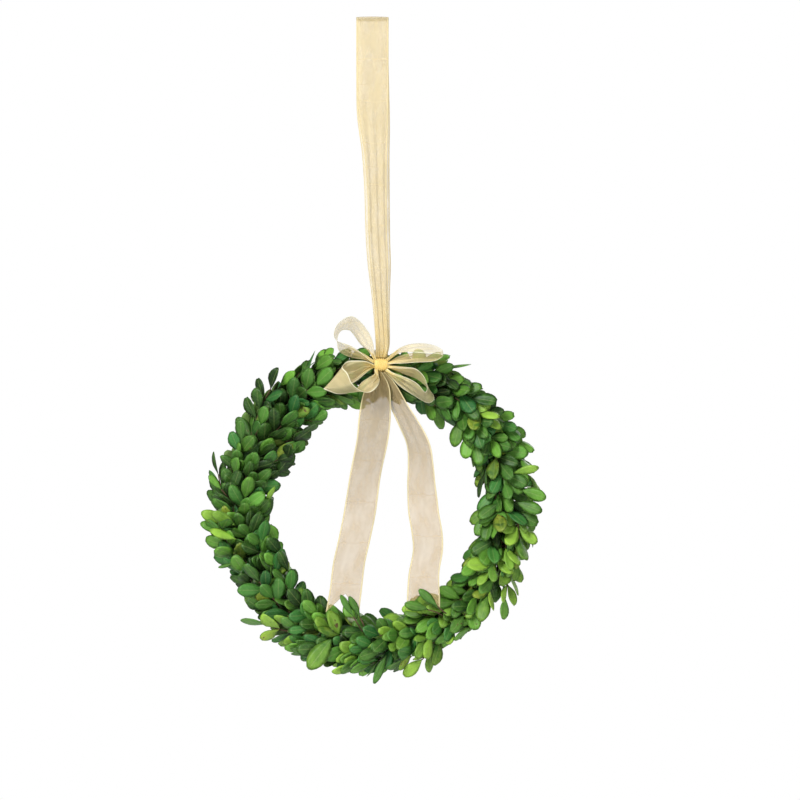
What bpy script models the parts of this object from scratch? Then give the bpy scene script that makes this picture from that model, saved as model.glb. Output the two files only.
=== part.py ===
"""A boxwood wreath that hangs on a loop of sheer ribbon, with a bow and two tails.

Metres, +Z up. The front faces -Y. The origin is inside the top of the ribbon loop, where a hook bears.
Clock angles run clockwise from the top of the wreath, as seen from the front. Angles round the ring's
section run from outwards (0) through the front (90 degrees) and the hole (180) to the back (270).
"""

import math

import bmesh
import bpy
import numpy as np
from mathutils import Vector
from mathutils.bvhtree import BVHTree

MM = 0.001

# Driving dimensions
RING_RADIUS = 100 * MM  # centre of the wreath to the middle of its twig ring
RING_TUBE_RADIUS = 3.5 * MM
RING_CENTRE = Vector((0, 20 * MM, -366 * MM))
SPRAY_COUNT = 48
GAP = 0.35 * MM  # left between pieces that touch
SEED = 11

# Sprays: twigs laid clockwise on the ring
STEM_RADIUS = 0.85 * MM
STEM_LENGTH = 47 * MM
STEM_BARE = 10 * MM  # the length that lies flat on the ring
STEM_TAPER = 0.75
STEM_STEPS = 5
STEM_REACH = ((0, 21), (90, 17), (180, 13), (270, 7), (360, 21))  # degrees round, mm off the middle
STEM_SWAY = 14  # degrees
BACK_SECTOR = 80  # degrees of the ring's section that face the wall
BACK_DENSITY = 0.35
PINCH_REACH = 18 * MM  # foliage lies flatter this near the strap
PINCH_SHARE = 0.42

# Leaves
PAIR_NODES = (13 * MM, 26 * MM, 39 * MM)  # where they stand in pairs, along a twig
SINGLE_NODE = 31 * MM  # where one faces outwards
TIP_NODE = 46.5 * MM
LEAF_LENGTHS = (17.5 * MM, 22.5 * MM)
LEAF_WIDTH_SHARE = (0.56, 0.68)
LEAF_THICKNESS = 1.1 * MM
LEAF_CAMBER = 0.9 * MM
LEAF_BEND = (-0.02, 0.14)
LEAF_ROOT = 0.4 * MM  # how far a blade's root reaches back past its node
LEAF_SHIFT = 0.25 * MM  # how far the roots of a pair stand apart from the twig's middle
LEAF_TURN = 0.6  # leaves on the wreath's edges turn part of the way to the front
LEAF_TRIES = 30
PAIR_SPLAY = (50, 35)  # degrees off the twig, at its foot and at its tip
PAIR_LIFT = 14
SINGLE_LIFT = 31
TIP_LIFT = 16
LEAF_ROLL = 16
BACK_DEPTH = 15 * MM  # the furthest that leaves reach behind the ring's middle
FRONT_DEPTH = 30 * MM
INNER_LIMIT = 72 * MM
OUTER_LIMIT = 131 * MM

# Binding wire
WIRE_RADIUS = 0.5 * MM
WIRE_HOLD = 5 * MM  # where it crosses a twig, from the twig's cut end
WIRE_STEPS = 2  # points from one twig to the next

# Ribbon
RIBBON_WIDTH = 24 * MM
RIBBON_THICKNESS = 0.6 * MM
CROWN_RADIUS = 4.3 * MM
CROWN_STEP = 30  # degrees
STRAP_HALF_DEPTH = 16.2 * MM
STRAP_HALF_HEIGHT = 17.5 * MM
STRAP_WIDTH = 10 * MM
STRAP_ROWS = 20
LOOP_ROWS = 16
TAIL_ROWS = 15
NOTCH_DEPTH = 14 * MM  # of the swallowtail cut at each tail's end
KNOT_HALF = Vector((4.2, 4.0, 4.5)) * MM
KNOT_X = 6.3 * MM
KNOT_Z = -258.9 * MM

# The hanger's leg, from the knot up, in millimetres: height, sideways shift, width
HANGER_LEG = (
    (-253.6, 6.6, 8.0),
    (-244, 8.0, 10.0),
    (-224, 7.0, 10.8),
    (-207, 5.9, 12.2),
    (-185, 4.6, 15.2),
    (-162, 2.9, 16.0),
    (-130, 2.3, 16.6),
    (-101, 1.5, 18.8),
    (-86, 0.7, 21.5),
    (-68, 0.0, 23.6),
    (-36, 0.0, 24.0),
)
LEGS_APART = ((-253.6, 0.75), (-200, 2.4), (-40, 4.3))  # height, half the way between the two legs

# Bow loops from the knot out and back, in millimetres from the knot's middle:
# sideways, forwards, up, width, and how its width leans sideways and up for each step forwards
BOW_LOOPS = {
    "bow_loop_upper_left": (
        (-3.9, 0, 3.3, 4, 0, 0),
        (-9.5, 3, 14.5, 17, 0.50, 0.10),
        (-15.5, 6, 25.5, 22, 0.50, 0.20),
        (-23, 8, 31.5, 24, 0.10, 0.45),
        (-31, 9, 28.5, 24, -0.10, 0.20),
        (-34, 8, 20.5, 24, -0.05, 0),
        (-31.5, 6, 13.5, 24, 0.10, 0.25),
        (-22.5, 4, 9.4, 20, 0.05, 0.40),
        (-13, 2, 6.0, 12, 0, 0.30),
        (-5.0, 0, 2.0, 3.6, 0, 0),
    ),
    "bow_loop_upper_right": (
        (4.1, 0.5, 3.2, 4, 0, 0),
        (14, 5, 10.0, 15, 0, -0.30),
        (27, 9, 12.2, 22, 0, -0.32),
        (39, 10, 12.2, 24, 0, -0.22),
        (46.2, 10, 8.6, 24, 0, -0.12),
        (40, 9, 5.0, 24, 0, -0.22),
        (27, 8, 4.4, 22, 0, -0.30),
        (14, 5, 3.0, 15, 0, -0.30),
        (5.0, 0.5, 0.6, 4, 0, 0),
    ),
    "bow_loop_lower_left": (
        (-5.1, 1.2, -0.7, 3.4, 0, 0.4),
        (-11.5, 4.5, -1.6, 10, 0, 1.4),
        (-21.5, 8, -5.8, 20, 0.10, 1.5),
        (-31, 10.5, -8.6, 24, 0.80, 1.5),
        (-35.2, 14, -10.2, 24, 1.3, 1.42),
        (-31.5, 16.5, -13, 24, 0.90, 1.0),
        (-24.5, 17.5, -17.3, 24, 0.30, 0.45),
        (-14, 16, -19.6, 22, 0, -0.22),
        (-5, 12.5, -15.6, 16, 0.10, -0.50),
        (-0.8, 8, -10, 9, 0.10, -0.50),
        (-3.6, 2.6, -3.4, 3.2, 0, 0),
    ),
    "bow_loop_lower_right": (
        (5.0, 0.5, -1.7, 4, 0, 0),
        (14, 5, -3.4, 13, 0, 0.25),
        (25.5, 11, -6.4, 22, -0.10, 0.38),
        (33, 13, -13.5, 24, -0.15, 0.40),
        (36.5, 14, -21.0, 24, -0.25, 0.36),
        (33.5, 14, -24.5, 24, -0.10, 0.36),
        (24.5, 13, -18.5, 23, 0.15, 0.36),
        (14, 9, -11.5, 16, 0.15, 0.34),
        (3.9, 2.6, -3.6, 3.2, 0, 0),
    ),
}

# Tails from the knot down, in millimetres from the knot's middle:
# sideways, forwards, up, width, and how far its right edge is turned back, in degrees
TAILS = {
    "tail_left": (
        (-1.7, 0.8, -5.4, 4.4, 0),
        (-2.3, 2.2, -15, 16, 0),
        (-3.4, 3.8, -25, 21.5, 5),
        (-4.6, 5.2, -40, 24, 5),
        (-6.5, 7.0, -57, 24, 10),
        (-12.3, 8.5, -87, 24, 15),
        (-15.8, 9.0, -111, 24, 5),
        (-19.5, 9.0, -129, 24, 5),
        (-23.5, 8.5, -147, 24, 5),
        (-26, 8.0, -167, 24, 0),
        (-28.5, 8.0, -184, 25, -4),
    ),
    "tail_right": (
        (2.2, -0.6, -5.2, 3.6, -50),
        (6.0, -0.4, -12, 9, -40),
        (12.5, 1.5, -28, 15, -30),
        (20.5, 3.5, -43, 19, -30),
        (27.5, 5.0, -60, 23, -40),
        (30, 6.5, -76, 24, -37),
        (30, 7.5, -91, 24, -28),
        (31.5, 8.0, -108, 24, -18),
        (34.2, 8.5, -124, 24, -16),
        (34.6, 8.5, -138, 24, -22),
        (32.0, 8.0, -157, 24, -18),
        (31.5, 8.0, -182, 25, 6),
    ),
}

LEAF_COLOURS = {
    "boxwood_deep": (0.030, 0.105, 0.022),
    "boxwood_mid": (0.055, 0.180, 0.030),
    "boxwood_fresh": (0.120, 0.290, 0.040),
}
DEEP_BELOW, FRESH_ABOVE = 0.38, 0.85  # a spray's lightness, from 0 to 1, that parts the three greens
LIGHTEST_CLOCK = 115  # degrees: low on the right


def clear_scene():
    for thing in list(bpy.data.objects):
        bpy.data.objects.remove(thing)


def material(name, colour, roughness, alpha=1.0):
    made = bpy.data.materials.new(name)
    made.use_nodes = True
    shader = made.node_tree.nodes["Principled BSDF"]
    shader.inputs["Base Color"].default_value = (*colour, 1)
    shader.inputs["Roughness"].default_value = roughness
    shader.inputs["Metallic"].default_value = 0
    shader.inputs["Alpha"].default_value = alpha
    return made


def new_object(name, mesh, group, finish):
    made = bpy.data.objects.new(name, mesh)
    group.objects.link(made)
    mesh.materials.clear()
    mesh.materials.append(finish)
    return made


def take_mesh(source):
    """The object's evaluated shape in world space, with a curve's caps welded. The object is removed."""
    bpy.context.view_layer.update()
    graph = bpy.context.evaluated_depsgraph_get()
    mesh = bpy.data.meshes.new_from_object(source.evaluated_get(graph))
    mesh.transform(source.matrix_world)
    bpy.data.objects.remove(source)
    work = bmesh.new()
    work.from_mesh(mesh)
    bmesh.ops.remove_doubles(work, verts=work.verts, dist=0.01 * MM)
    work.to_mesh(mesh)
    work.free()
    return mesh


def tube_mesh(name, points, radius, end_share=1.0):
    """A square tube along the points, which narrows evenly to end_share of its radius."""
    curve = bpy.data.curves.new(name, "CURVE")
    curve.dimensions = "3D"
    curve.bevel_depth = radius
    curve.bevel_resolution = 0
    curve.use_fill_caps = True
    spline = curve.splines.new("POLY")
    spline.points.add(len(points) - 1)
    for i, (place, point) in enumerate(zip(points, spline.points)):
        point.co = (*place, 1)
        point.radius = 1 + (end_share - 1) * i / (len(points) - 1)
    holder = bpy.data.objects.new(name, curve)
    bpy.context.scene.collection.objects.link(holder)
    return take_mesh(holder)


def radial(clock):
    return Vector((math.sin(clock), 0, math.cos(clock)))


def outward(clock, around):
    """The direction out of the ring's tube, at an angle round its section."""
    return radial(clock) * math.cos(around) + Vector((0, -1, 0)) * math.sin(around)


def on_ring(clock, around, off):
    """A point at a distance off the ring's middle line."""
    return RING_CENTRE + radial(clock) * RING_RADIUS + outward(clock, around) * off


def twig_around(index):
    """The angle round the ring's section at which a twig lies. Golden-ratio steps spread the twigs
    evenly, with fewer of them in the sector that faces the wall."""
    golden_share = (index * 0.6180340 + 0.13) % 1
    open_sector = 360 - BACK_SECTOR
    degrees = golden_share * (open_sector + BACK_SECTOR * BACK_DENSITY)
    if degrees > open_sector:
        degrees = open_sector + (degrees - open_sector) / BACK_DENSITY
    return math.radians(degrees - 90 + BACK_SECTOR / 2)


class Twig:
    """One twig's path: flat on the ring where it is tied, then rising out of it."""

    def __init__(self, index):
        self.index = index
        self.clock = math.tau * index / SPRAY_COUNT
        self.around = twig_around(index)
        self.back = max(0.0, -math.sin(self.around)) ** 1.5
        draw = np.random.default_rng([SEED, index])
        degrees, reaches = zip(*STEM_REACH)
        reach = float(np.interp(math.degrees(self.around) % 360, degrees, reaches)) * MM
        self.reach = reach + draw.uniform(-2, 2) * MM * (1 - self.back)
        self.sway = math.radians(draw.uniform(-STEM_SWAY, STEM_SWAY))
        front = math.pi / 2
        at_the_wall = math.degrees(self.around) > 270 - BACK_SECTOR / 2
        self.facing = self.around if at_the_wall else front + (self.around - front) * LEAF_TURN

    def clock_at(self, along):
        return self.clock + along / RING_RADIUS

    def place(self, along):
        """Off the ring by the rise, and less so beside the strap."""
        lying = RING_TUBE_RADIUS + GAP + STEM_RADIUS
        rise = max(0.0, along - STEM_BARE) / (STEM_LENGTH - STEM_BARE)
        clock = self.clock_at(along)
        strap_clock = math.asin(KNOT_X / RING_RADIUS)
        from_strap = ((clock - strap_clock + math.pi) % math.tau - math.pi) * RING_RADIUS
        pinch = PINCH_SHARE * math.exp(-((from_strap / PINCH_REACH) ** 2))
        off = lying + (self.reach - lying) * rise**1.2 * (1 - pinch)
        return on_ring(clock, self.around + self.sway * rise, off)

    def frame(self, along):
        """The twig's place, its direction and the way that its leaves face."""
        ahead = (self.place(along + MM) - self.place(along - MM)).normalized()
        out = outward(self.clock_at(along), self.facing)
        return self.place(along), ahead, (out - ahead * out.dot(ahead)).normalized()

    def mesh(self):
        points = [self.place(STEM_LENGTH * i / STEM_STEPS) for i in range(STEM_STEPS + 1)]
        return tube_mesh("twig", points, STEM_RADIUS, STEM_TAPER)


# A blade's outline from its root: share of the length, half width as a share of the width, and camber.
# Its points are the root, one side's outline, the other side's, the tip, and the rib's top and bottom.
LEAF_OUTLINE = ((0.12, 0.11, 0.1), (0.47, 0.50, 1.0), (0.83, 0.40, 0.9))
LEAF_RIB = 0.42
LEAF_RIM = (0, 1, 2, 3, 7, 6, 5, 4)
LEAF_FACES = [(b, a, 8) for a, b in zip(LEAF_RIM, LEAF_RIM[1:] + LEAF_RIM[:1])]
LEAF_FACES += [(a, b, 9) for b, a, _ in LEAF_FACES]
CLEAR_OF_ROOT = 0.13  # leaves of one twig are kept apart past this share of their length


def leaf_points(length, width, bend, start=0.0, grow=0.0):
    """A blade along +X, its upper face up. start leaves out a share at the root, and grow adds to it
    all round."""
    length, width, thickness = length + grow, width + 2 * grow, LEAF_THICKNESS + 2 * grow
    points = [(start * length if start else -LEAF_ROOT, 0, 0)]
    for side in (1, -1):
        for along, half, camber in LEAF_OUTLINE:
            reach = (start + along * (1 - start)) * length
            points.append((reach, side * half * width, -camber * LEAF_CAMBER))
    points.append((length, 0, -0.3 * LEAF_CAMBER))
    rib = (start + LEAF_RIB * (1 - start)) * length
    points += [(rib, 0, thickness / 2), (rib, 0, -thickness / 2)]
    points = np.array(points)
    points[:, 2] -= bend * length * (points[:, 0] / length) ** 2
    return points


def turned(points, root, along, up):
    return points @ np.array((along, up.cross(along), up)) + np.array(root)


class Obstacle:
    """A solid that leaves keep clear of, with its box, so that far ones are skipped."""

    def __init__(self, points, faces):
        points = np.asarray(points)
        self.tree = BVHTree.FromPolygons([Vector(p) for p in points], faces)
        self.low = points.min(0)
        self.high = points.max(0)

    def meets(self, other):
        if (self.low > other.high).any() or (other.low > self.high).any():
            return False
        return bool(self.tree.overlap(other.tree))


def obstacle_of(mesh):
    mesh.calc_loop_triangles()
    points = [tuple(v.co) for v in mesh.vertices]
    return Obstacle(points, [tuple(t.vertices) for t in mesh.loop_triangles])


# Each leaf's place along its twig, and its side: -1 or 1, 0 for facing outwards, or None at the tip
LEAF_SLOTS = [(at, side) for at in PAIR_NODES for side in (-1, 1)] + [(SINGLE_NODE, 0), (TIP_NODE, None)]


def draw_leaf(twig, slot, attempt):
    """One try at a leaf: its root, direction, upper side and shape. Later tries stray further."""
    at, side = LEAF_SLOTS[slot]
    draw = np.random.default_rng([SEED, twig.index, slot, attempt])
    stray = 1 + attempt / 12
    here, ahead, out = twig.frame(at)
    sideways = ahead.cross(out)
    if side:
        at_foot, at_tip = PAIR_SPLAY
        splay = (at_foot + (at_tip - at_foot) * at / STEM_LENGTH + draw.uniform(-12, 12) * stray) * side
        lift = PAIR_LIFT + draw.uniform(-10, 10) * stray
    else:
        splay = draw.uniform(-14, 14) * stray
        lift = (TIP_LIFT if side is None else SINGLE_LIFT) + draw.uniform(-8, 8) * stray
    splay = math.radians(splay)
    lift = math.radians(lift * (1 - 0.75 * twig.back))
    along = (ahead * math.cos(splay) + sideways * math.sin(splay)) * math.cos(lift) + out * math.sin(lift)
    roll = math.radians(draw.uniform(-LEAF_ROLL, LEAF_ROLL) * stray)
    flat_up = (out - along * out.dot(along)).normalized()
    up = (flat_up * math.cos(roll) + along.cross(flat_up) * math.sin(roll)).normalized()
    length = draw.uniform(*LEAF_LENGTHS) * (1 - 0.006 * attempt)
    width = length * draw.uniform(*LEAF_WIDTH_SHARE)
    root = here + sideways * (side or 0) * LEAF_SHIFT
    return (root, along, up), (length, width, draw.uniform(*LEAF_BEND))


def in_bounds(points):
    behind = points[:, 1] - RING_CENTRE.y
    from_centre = np.hypot(points[:, 0] - RING_CENTRE.x, points[:, 2] - RING_CENTRE.z)
    shallow = behind.max() < BACK_DEPTH and behind.min() > -FRONT_DEPTH
    return shallow and from_centre.min() > INNER_LIMIT and from_centre.max() < OUTER_LIMIT


def grow_leaves(twig, others):
    """The blades of one twig that clear everything in others and, past their roots, each other."""
    blades, own = [], []
    for slot in range(len(LEAF_SLOTS)):
        for attempt in range(LEAF_TRIES):
            pose, shape = draw_leaf(twig, slot, attempt)
            blade = turned(leaf_points(*shape), *pose)
            if not in_bounds(blade):
                continue
            whole = Obstacle(turned(leaf_points(*shape, grow=GAP), *pose), LEAF_FACES)
            if any(whole.meets(other) for other in others):
                continue
            outer = turned(leaf_points(*shape, start=CLEAR_OF_ROOT, grow=GAP / 2), *pose)
            outer = Obstacle(outer, LEAF_FACES)
            if any(outer.meets(other) for other in own):
                continue
            blades.append(blade)
            own.append(outer)
            break
    return blades


def spray(twig, stem_mesh, blades, group, finish):
    """The twig and its blades joined in one solid."""
    body = new_object(f"spray_{twig.index + 1:02d}", stem_mesh, group, finish)
    leaves = bpy.data.collections.new("leaves")
    bpy.context.scene.collection.children.link(leaves)
    for points in blades:
        mesh = bpy.data.meshes.new("leaf")
        mesh.from_pydata([tuple(p) for p in points], [], LEAF_FACES)
        leaves.objects.link(bpy.data.objects.new("leaf", mesh))
    join = body.modifiers.new("join leaves", "BOOLEAN")
    join.operation = "UNION"
    join.operand_type = "COLLECTION"
    join.collection = leaves
    bpy.context.view_layer.update()
    graph = bpy.context.evaluated_depsgraph_get()
    joined = bpy.data.meshes.new_from_object(body.evaluated_get(graph))
    body.modifiers.clear()
    body.data = joined
    for leaf in list(leaves.objects):
        bpy.data.objects.remove(leaf)
    bpy.data.collections.remove(leaves)


def spray_finish(twig, finishes):
    """Deeper greens on the upper left, fresher ones low on the right."""
    draw = np.random.default_rng([SEED, twig.index, 99]).uniform(-0.5, 0.5)
    light = 0.5 + 0.35 * math.cos(twig.clock - math.radians(LIGHTEST_CLOCK)) + draw
    if light < DEEP_BELOW:
        return finishes["boxwood_deep"]
    return finishes["boxwood_fresh"] if light > FRESH_ABOVE else finishes["boxwood_mid"]


def twig_ring(group, finish):
    bpy.ops.mesh.primitive_torus_add(
        location=RING_CENTRE,
        rotation=(math.pi / 2, 0, 0),
        major_radius=RING_RADIUS,
        minor_radius=RING_TUBE_RADIUS,
        major_segments=42,
        minor_segments=5,
    )
    return new_object("twig_ring", take_mesh(bpy.context.object), group, finish)


def binding_wire(twigs, group, finish):
    """One wire wound back round the ring, so that it crosses each twig where it lies flat."""
    off = RING_TUBE_RADIUS + GAP + 2 * STEM_RADIUS + GAP + WIRE_RADIUS
    around = twigs[0].around
    points = []
    for twig, after in zip(twigs, twigs[1:]):
        step = -((around - after.around) % math.tau)
        for i in range(WIRE_STEPS):
            share = i / WIRE_STEPS
            clock = twig.clock_at(WIRE_HOLD) + share * math.tau / SPRAY_COUNT
            points.append(on_ring(clock, around + share * step, off))
        around += step
    points.append(on_ring(twigs[-1].clock_at(WIRE_HOLD), around, off))
    return new_object("binding_wire", tube_mesh("wire", points, WIRE_RADIUS), group, finish)


def smooth_rows(stations, count):
    """Evenly spaced rows of a Catmull-Rom curve through the stations."""
    stations = np.asarray(stations, float)
    ends = 2 * stations[[0, -1]] - stations[[1, -2]]
    padded = np.vstack((ends[:1], stations, ends[1:]))
    rows = []
    for at in np.linspace(0, len(stations) - 1, count):
        i = min(int(at), len(stations) - 2)
        t = at - i
        a, b, c, d = padded[i : i + 4]
        curve = 2 * b + (c - a) * t + (2 * a - 5 * b + 4 * c - d) * t**2
        rows.append((curve + (3 * b - a - 3 * c + d) * t**3) / 2)
    return np.array(rows)


def ribbon(name, rows, group, finish, closed=False, notch=0.0):
    """A solid ribbon through rows of a middle and a vector from there to one edge. notch is how far
    the middle of its last row is cut back."""
    points = []
    for row in rows:
        middle, half = row[:3], row[3:]
        points += [middle - half, middle, middle + half]
    if notch:
        back = rows[-2][:3] - rows[-1][:3]
        points[-2] = points[-2] + back / np.linalg.norm(back) * notch
    count = len(rows)
    faces = []
    for i in range(count if closed else count - 1):
        j = (i + 1) % count
        for k in range(2):
            faces.append((3 * i + k, 3 * i + k + 1, 3 * j + k + 1, 3 * j + k))
    mesh = bpy.data.meshes.new(name)
    mesh.from_pydata([tuple(p) for p in points], [], faces)
    work = bmesh.new()
    work.from_mesh(mesh)
    bmesh.ops.triangulate(work, faces=work.faces)
    work.to_mesh(mesh)
    work.free()
    sheet = new_object(name, mesh, group, finish)
    wall = sheet.modifiers.new("thickness", "SOLIDIFY")
    wall.thickness = RIBBON_THICKNESS
    wall.offset = 0
    wall.use_even_offset = True
    return new_object(name, take_mesh(sheet), group, finish)


def hanger(knot_y, group, finish):
    """Up the front leg, over the crown and down the back leg. The crown's top facet is level, and its
    underside is at the origin."""
    heights, halves = zip(*LEGS_APART)
    foot, shoulder = HANGER_LEG[0][0], HANGER_LEG[-1][0]
    front, back = [], []
    for z, x, width in HANGER_LEG:
        middle = knot_y / MM * (z - shoulder) / (foot - shoulder)
        apart = float(np.interp(z, heights, halves))
        front.append((x, middle - apart, z, width / 2, 0, 0))
        back.append((x, middle + apart, z, width / 2, 0, 0))
    facet_height = CROWN_RADIUS * math.cos(math.radians(CROWN_STEP / 2))
    crown = []
    for degrees in range(CROWN_STEP // 2, 180, CROWN_STEP):
        turn = math.radians(degrees)
        y = -CROWN_RADIUS * math.cos(turn)
        z = RIBBON_THICKNESS / 2 - facet_height + CROWN_RADIUS * math.sin(turn)
        crown.append((0, y / MM, z / MM, RIBBON_WIDTH / 2 / MM, 0, 0))
    return ribbon("ribbon_hanger", np.array(front + crown + back[::-1]) * MM, group, finish)


def bow_loop(name, stations, knot, group, finish):
    rows = []
    for x, ahead, z, width, lean_x, lean_z in smooth_rows(stations, LOOP_ROWS):
        across = Vector((lean_x, -1, lean_z)).normalized() * width / 2
        rows.append((x, -ahead, z, *across))
    rows = np.array(rows) * MM
    rows[:, :3] += np.array(knot)
    return ribbon(name, rows, group, finish)


def tail(name, stations, knot, group, finish):
    """The row before the last is left out, which makes room for the notch."""
    rows = []
    for x, ahead, z, width, turn in smooth_rows(stations, TAIL_ROWS):
        turn = math.radians(turn)
        rows.append((x, -ahead, z, width / 2 * math.cos(turn), width / 2 * math.sin(turn), 0))
    rows = np.delete(np.array(rows) * MM, -2, axis=0)
    rows[:, :3] += np.array(knot)
    return ribbon(name, rows, group, finish, notch=NOTCH_DEPTH)


def strap_rows():
    """A rounded square round the wreath's section, behind the knot."""
    rows = []
    for i in range(STRAP_ROWS):
        turn = math.tau * (i + 0.5) / STRAP_ROWS
        c, s = math.cos(turn), math.sin(turn)
        size = (abs(c) ** 3 + abs(s) ** 3) ** (-1 / 3)
        y = RING_CENTRE.y + STRAP_HALF_DEPTH * size * c
        z = RING_CENTRE.z + RING_RADIUS + STRAP_HALF_HEIGHT * size * s
        rows.append((KNOT_X, y, z, STRAP_WIDTH / 2, 0, 0))
    return np.array(rows)


def knot_centre():
    """Just in front of the strap."""
    rows = strap_rows()
    front = rows[rows[:, 1] < RING_CENTRE.y]
    front = front[np.argsort(front[:, 2])]
    strap_y = float(np.interp(KNOT_Z, front[:, 2], front[:, 1]))
    return Vector((KNOT_X, strap_y - RIBBON_THICKNESS / 2 - GAP - KNOT_HALF.y, KNOT_Z))


def bow_knot(centre, group, finish):
    bpy.ops.mesh.primitive_uv_sphere_add(segments=12, ring_count=8, radius=1, location=centre)
    made = bpy.context.object
    made.scale = KNOT_HALF
    mesh = take_mesh(made)
    mesh.shade_smooth()
    return new_object("bow_knot", mesh, group, finish)


def ribbons(group, finish):
    knot = knot_centre()
    made = [
        ribbon("ribbon_strap", strap_rows(), group, finish, closed=True),
        bow_knot(knot, group, finish),
        hanger(knot.y, group, finish),
    ]
    made += [bow_loop(name, rows, knot, group, finish) for name, rows in BOW_LOOPS.items()]
    made += [tail(name, rows, knot, group, finish) for name, rows in TAILS.items()]
    return made


def sprays(twigs, obstacles, group, finishes):
    """Leaf by leaf round the wreath, each clear of what stands there already."""
    stems = [twig.mesh() for twig in twigs]
    stem_obstacles = [obstacle_of(stem) for stem in stems]
    placed = []
    for twig, stem in zip(twigs, stems):
        other_stems = stem_obstacles[: twig.index] + stem_obstacles[twig.index + 1 :]
        blades = grow_leaves(twig, obstacles + other_stems + placed)
        placed += [Obstacle(blade, LEAF_FACES) for blade in blades]
        spray(twig, stem, blades, group, spray_finish(twig, finishes))


def main():
    clear_scene()
    group = bpy.data.collections.new("boxwood_wreath")
    bpy.context.scene.collection.children.link(group)
    leaf_greens = {name: material(name, rgb, 0.45) for name, rgb in LEAF_COLOURS.items()}
    bark = material("twig_bark", (0.115, 0.070, 0.035), 0.85)
    wire = material("green_wire", (0.020, 0.045, 0.020), 0.45)
    organza = material("cream_organza", (0.83, 0.74, 0.50), 0.6, alpha=0.75)

    twigs = [Twig(i) for i in range(SPRAY_COUNT)]
    solids = [twig_ring(group, bark), binding_wire(twigs, group, wire)]
    solids += ribbons(group, organza)
    sprays(twigs, [obstacle_of(solid.data) for solid in solids], group, leaf_greens)


main()
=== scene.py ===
"""The looks of a boxwood wreath that hangs on a loop of sheer ribbon, with a bow and two tails.

Metres, +Z up. The front faces -Y and the origin is inside the top of the ribbon loop. Clock angles run
clockwise from the top of the wreath, as seen from the front. Angles round the ring's section run from
outwards (0) through the front (90 degrees) and the hole (180) to the back (270).
"""

from __future__ import annotations

import logging
import math
from collections.abc import Sequence
from dataclasses import dataclass, field
from enum import Enum
from functools import partial
from typing import Any

import bpy
import numpy as np
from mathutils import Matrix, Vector
from mathutils.bvhtree import BVHTree


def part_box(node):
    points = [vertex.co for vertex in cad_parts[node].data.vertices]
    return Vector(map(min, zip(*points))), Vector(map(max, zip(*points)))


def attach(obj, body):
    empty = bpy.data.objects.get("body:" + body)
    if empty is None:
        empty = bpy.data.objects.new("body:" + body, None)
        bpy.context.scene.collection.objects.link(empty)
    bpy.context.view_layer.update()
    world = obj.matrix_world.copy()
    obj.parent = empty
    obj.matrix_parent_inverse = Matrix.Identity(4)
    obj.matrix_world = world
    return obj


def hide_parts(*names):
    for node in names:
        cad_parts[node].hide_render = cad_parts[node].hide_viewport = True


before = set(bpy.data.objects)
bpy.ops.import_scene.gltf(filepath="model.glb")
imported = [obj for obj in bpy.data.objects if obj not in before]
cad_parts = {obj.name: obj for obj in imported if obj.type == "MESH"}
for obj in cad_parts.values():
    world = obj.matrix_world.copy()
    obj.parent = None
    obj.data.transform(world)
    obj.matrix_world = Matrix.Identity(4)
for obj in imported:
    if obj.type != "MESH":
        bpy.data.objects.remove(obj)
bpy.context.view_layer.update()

LOG = logging.getLogger("boxwood_wreath")
MM = 0.001
SEED = 11
BODY = "root"
FRONT = np.array((0.0, -1.0, 0.0))  # the way that the wreath faces
STRAP_X = 6.3 * MM  # the middle of the strap, which the knot sits on
UNDERSIDE, WOOD = 1, 2  # the third of a face's marks, on a leaf's lower face and on a twig
ASKEW = (0.31, 0.52, 0.8)  # a direction that no tube here starts in
CLOUD_LOW, CLOUD_HIGH = 0.3, 0.7  # between these lies nearly all of a noise

Array = np.ndarray
Tree = bpy.types.NodeTree
Socket = bpy.types.NodeSocket


# Meshes as whole arrays


@dataclass
class Surface:
    """A closed or open surface of quads, with what its finish reads.

    Attributes:
        points: one row of x, y, z for each vertex, in metres.
        quads: four vertex numbers for each face, anticlockwise seen from outside.
        uv: u and v for each corner of each face.
        marks: three numbers for each face, such as a leaf's tone.
    """

    points: Array
    quads: Array
    uv: Array
    marks: Array


def join(surfaces: Sequence[Surface]) -> Surface:
    """Several surfaces as one, each with its vertex numbers moved past those before it.

    Args:
        surfaces: what to join, in order.

    Returns:
        One surface that holds them all.
    """
    starts = np.cumsum([0] + [len(surface.points) for surface in surfaces[:-1]])
    return Surface(
        np.vstack([surface.points for surface in surfaces]),
        np.vstack([surface.quads + start for surface, start in zip(surfaces, starts)]),
        np.vstack([surface.uv for surface in surfaces]),
        np.vstack([surface.marks for surface in surfaces]),
    )


def grid_quads(rows: int, columns: int, rows_close: bool = False, columns_close: bool = False) -> Array:
    """The faces of a grid whose vertices are numbered row by row.

    Args:
        rows: number of rows.
        columns: number of vertices in each row.
        rows_close: whether the last row meets the first.
        columns_close: whether each row is a ring.

    Returns:
        Four vertex numbers for each face.
    """
    row, column = np.meshgrid(
        np.arange(rows if rows_close else rows - 1),
        np.arange(columns if columns_close else columns - 1),
        indexing="ij",
    )
    after, beside = (row + 1) % rows, (column + 1) % columns
    row, after = row * columns, after * columns
    return np.stack((row + column, row + beside, after + beside, after + column), -1).reshape(-1, 4)


def unit(vectors: Array) -> Array:
    """Each vector along the last axis, at length 1."""
    return vectors / np.linalg.norm(vectors, axis=-1, keepdims=True)


def along_path(points: Array) -> Array:
    """The distance of each point of a path from its first one."""
    steps = np.linalg.norm(np.diff(points, axis=0), axis=1)
    return np.concatenate(([0.0], np.cumsum(steps)))


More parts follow.
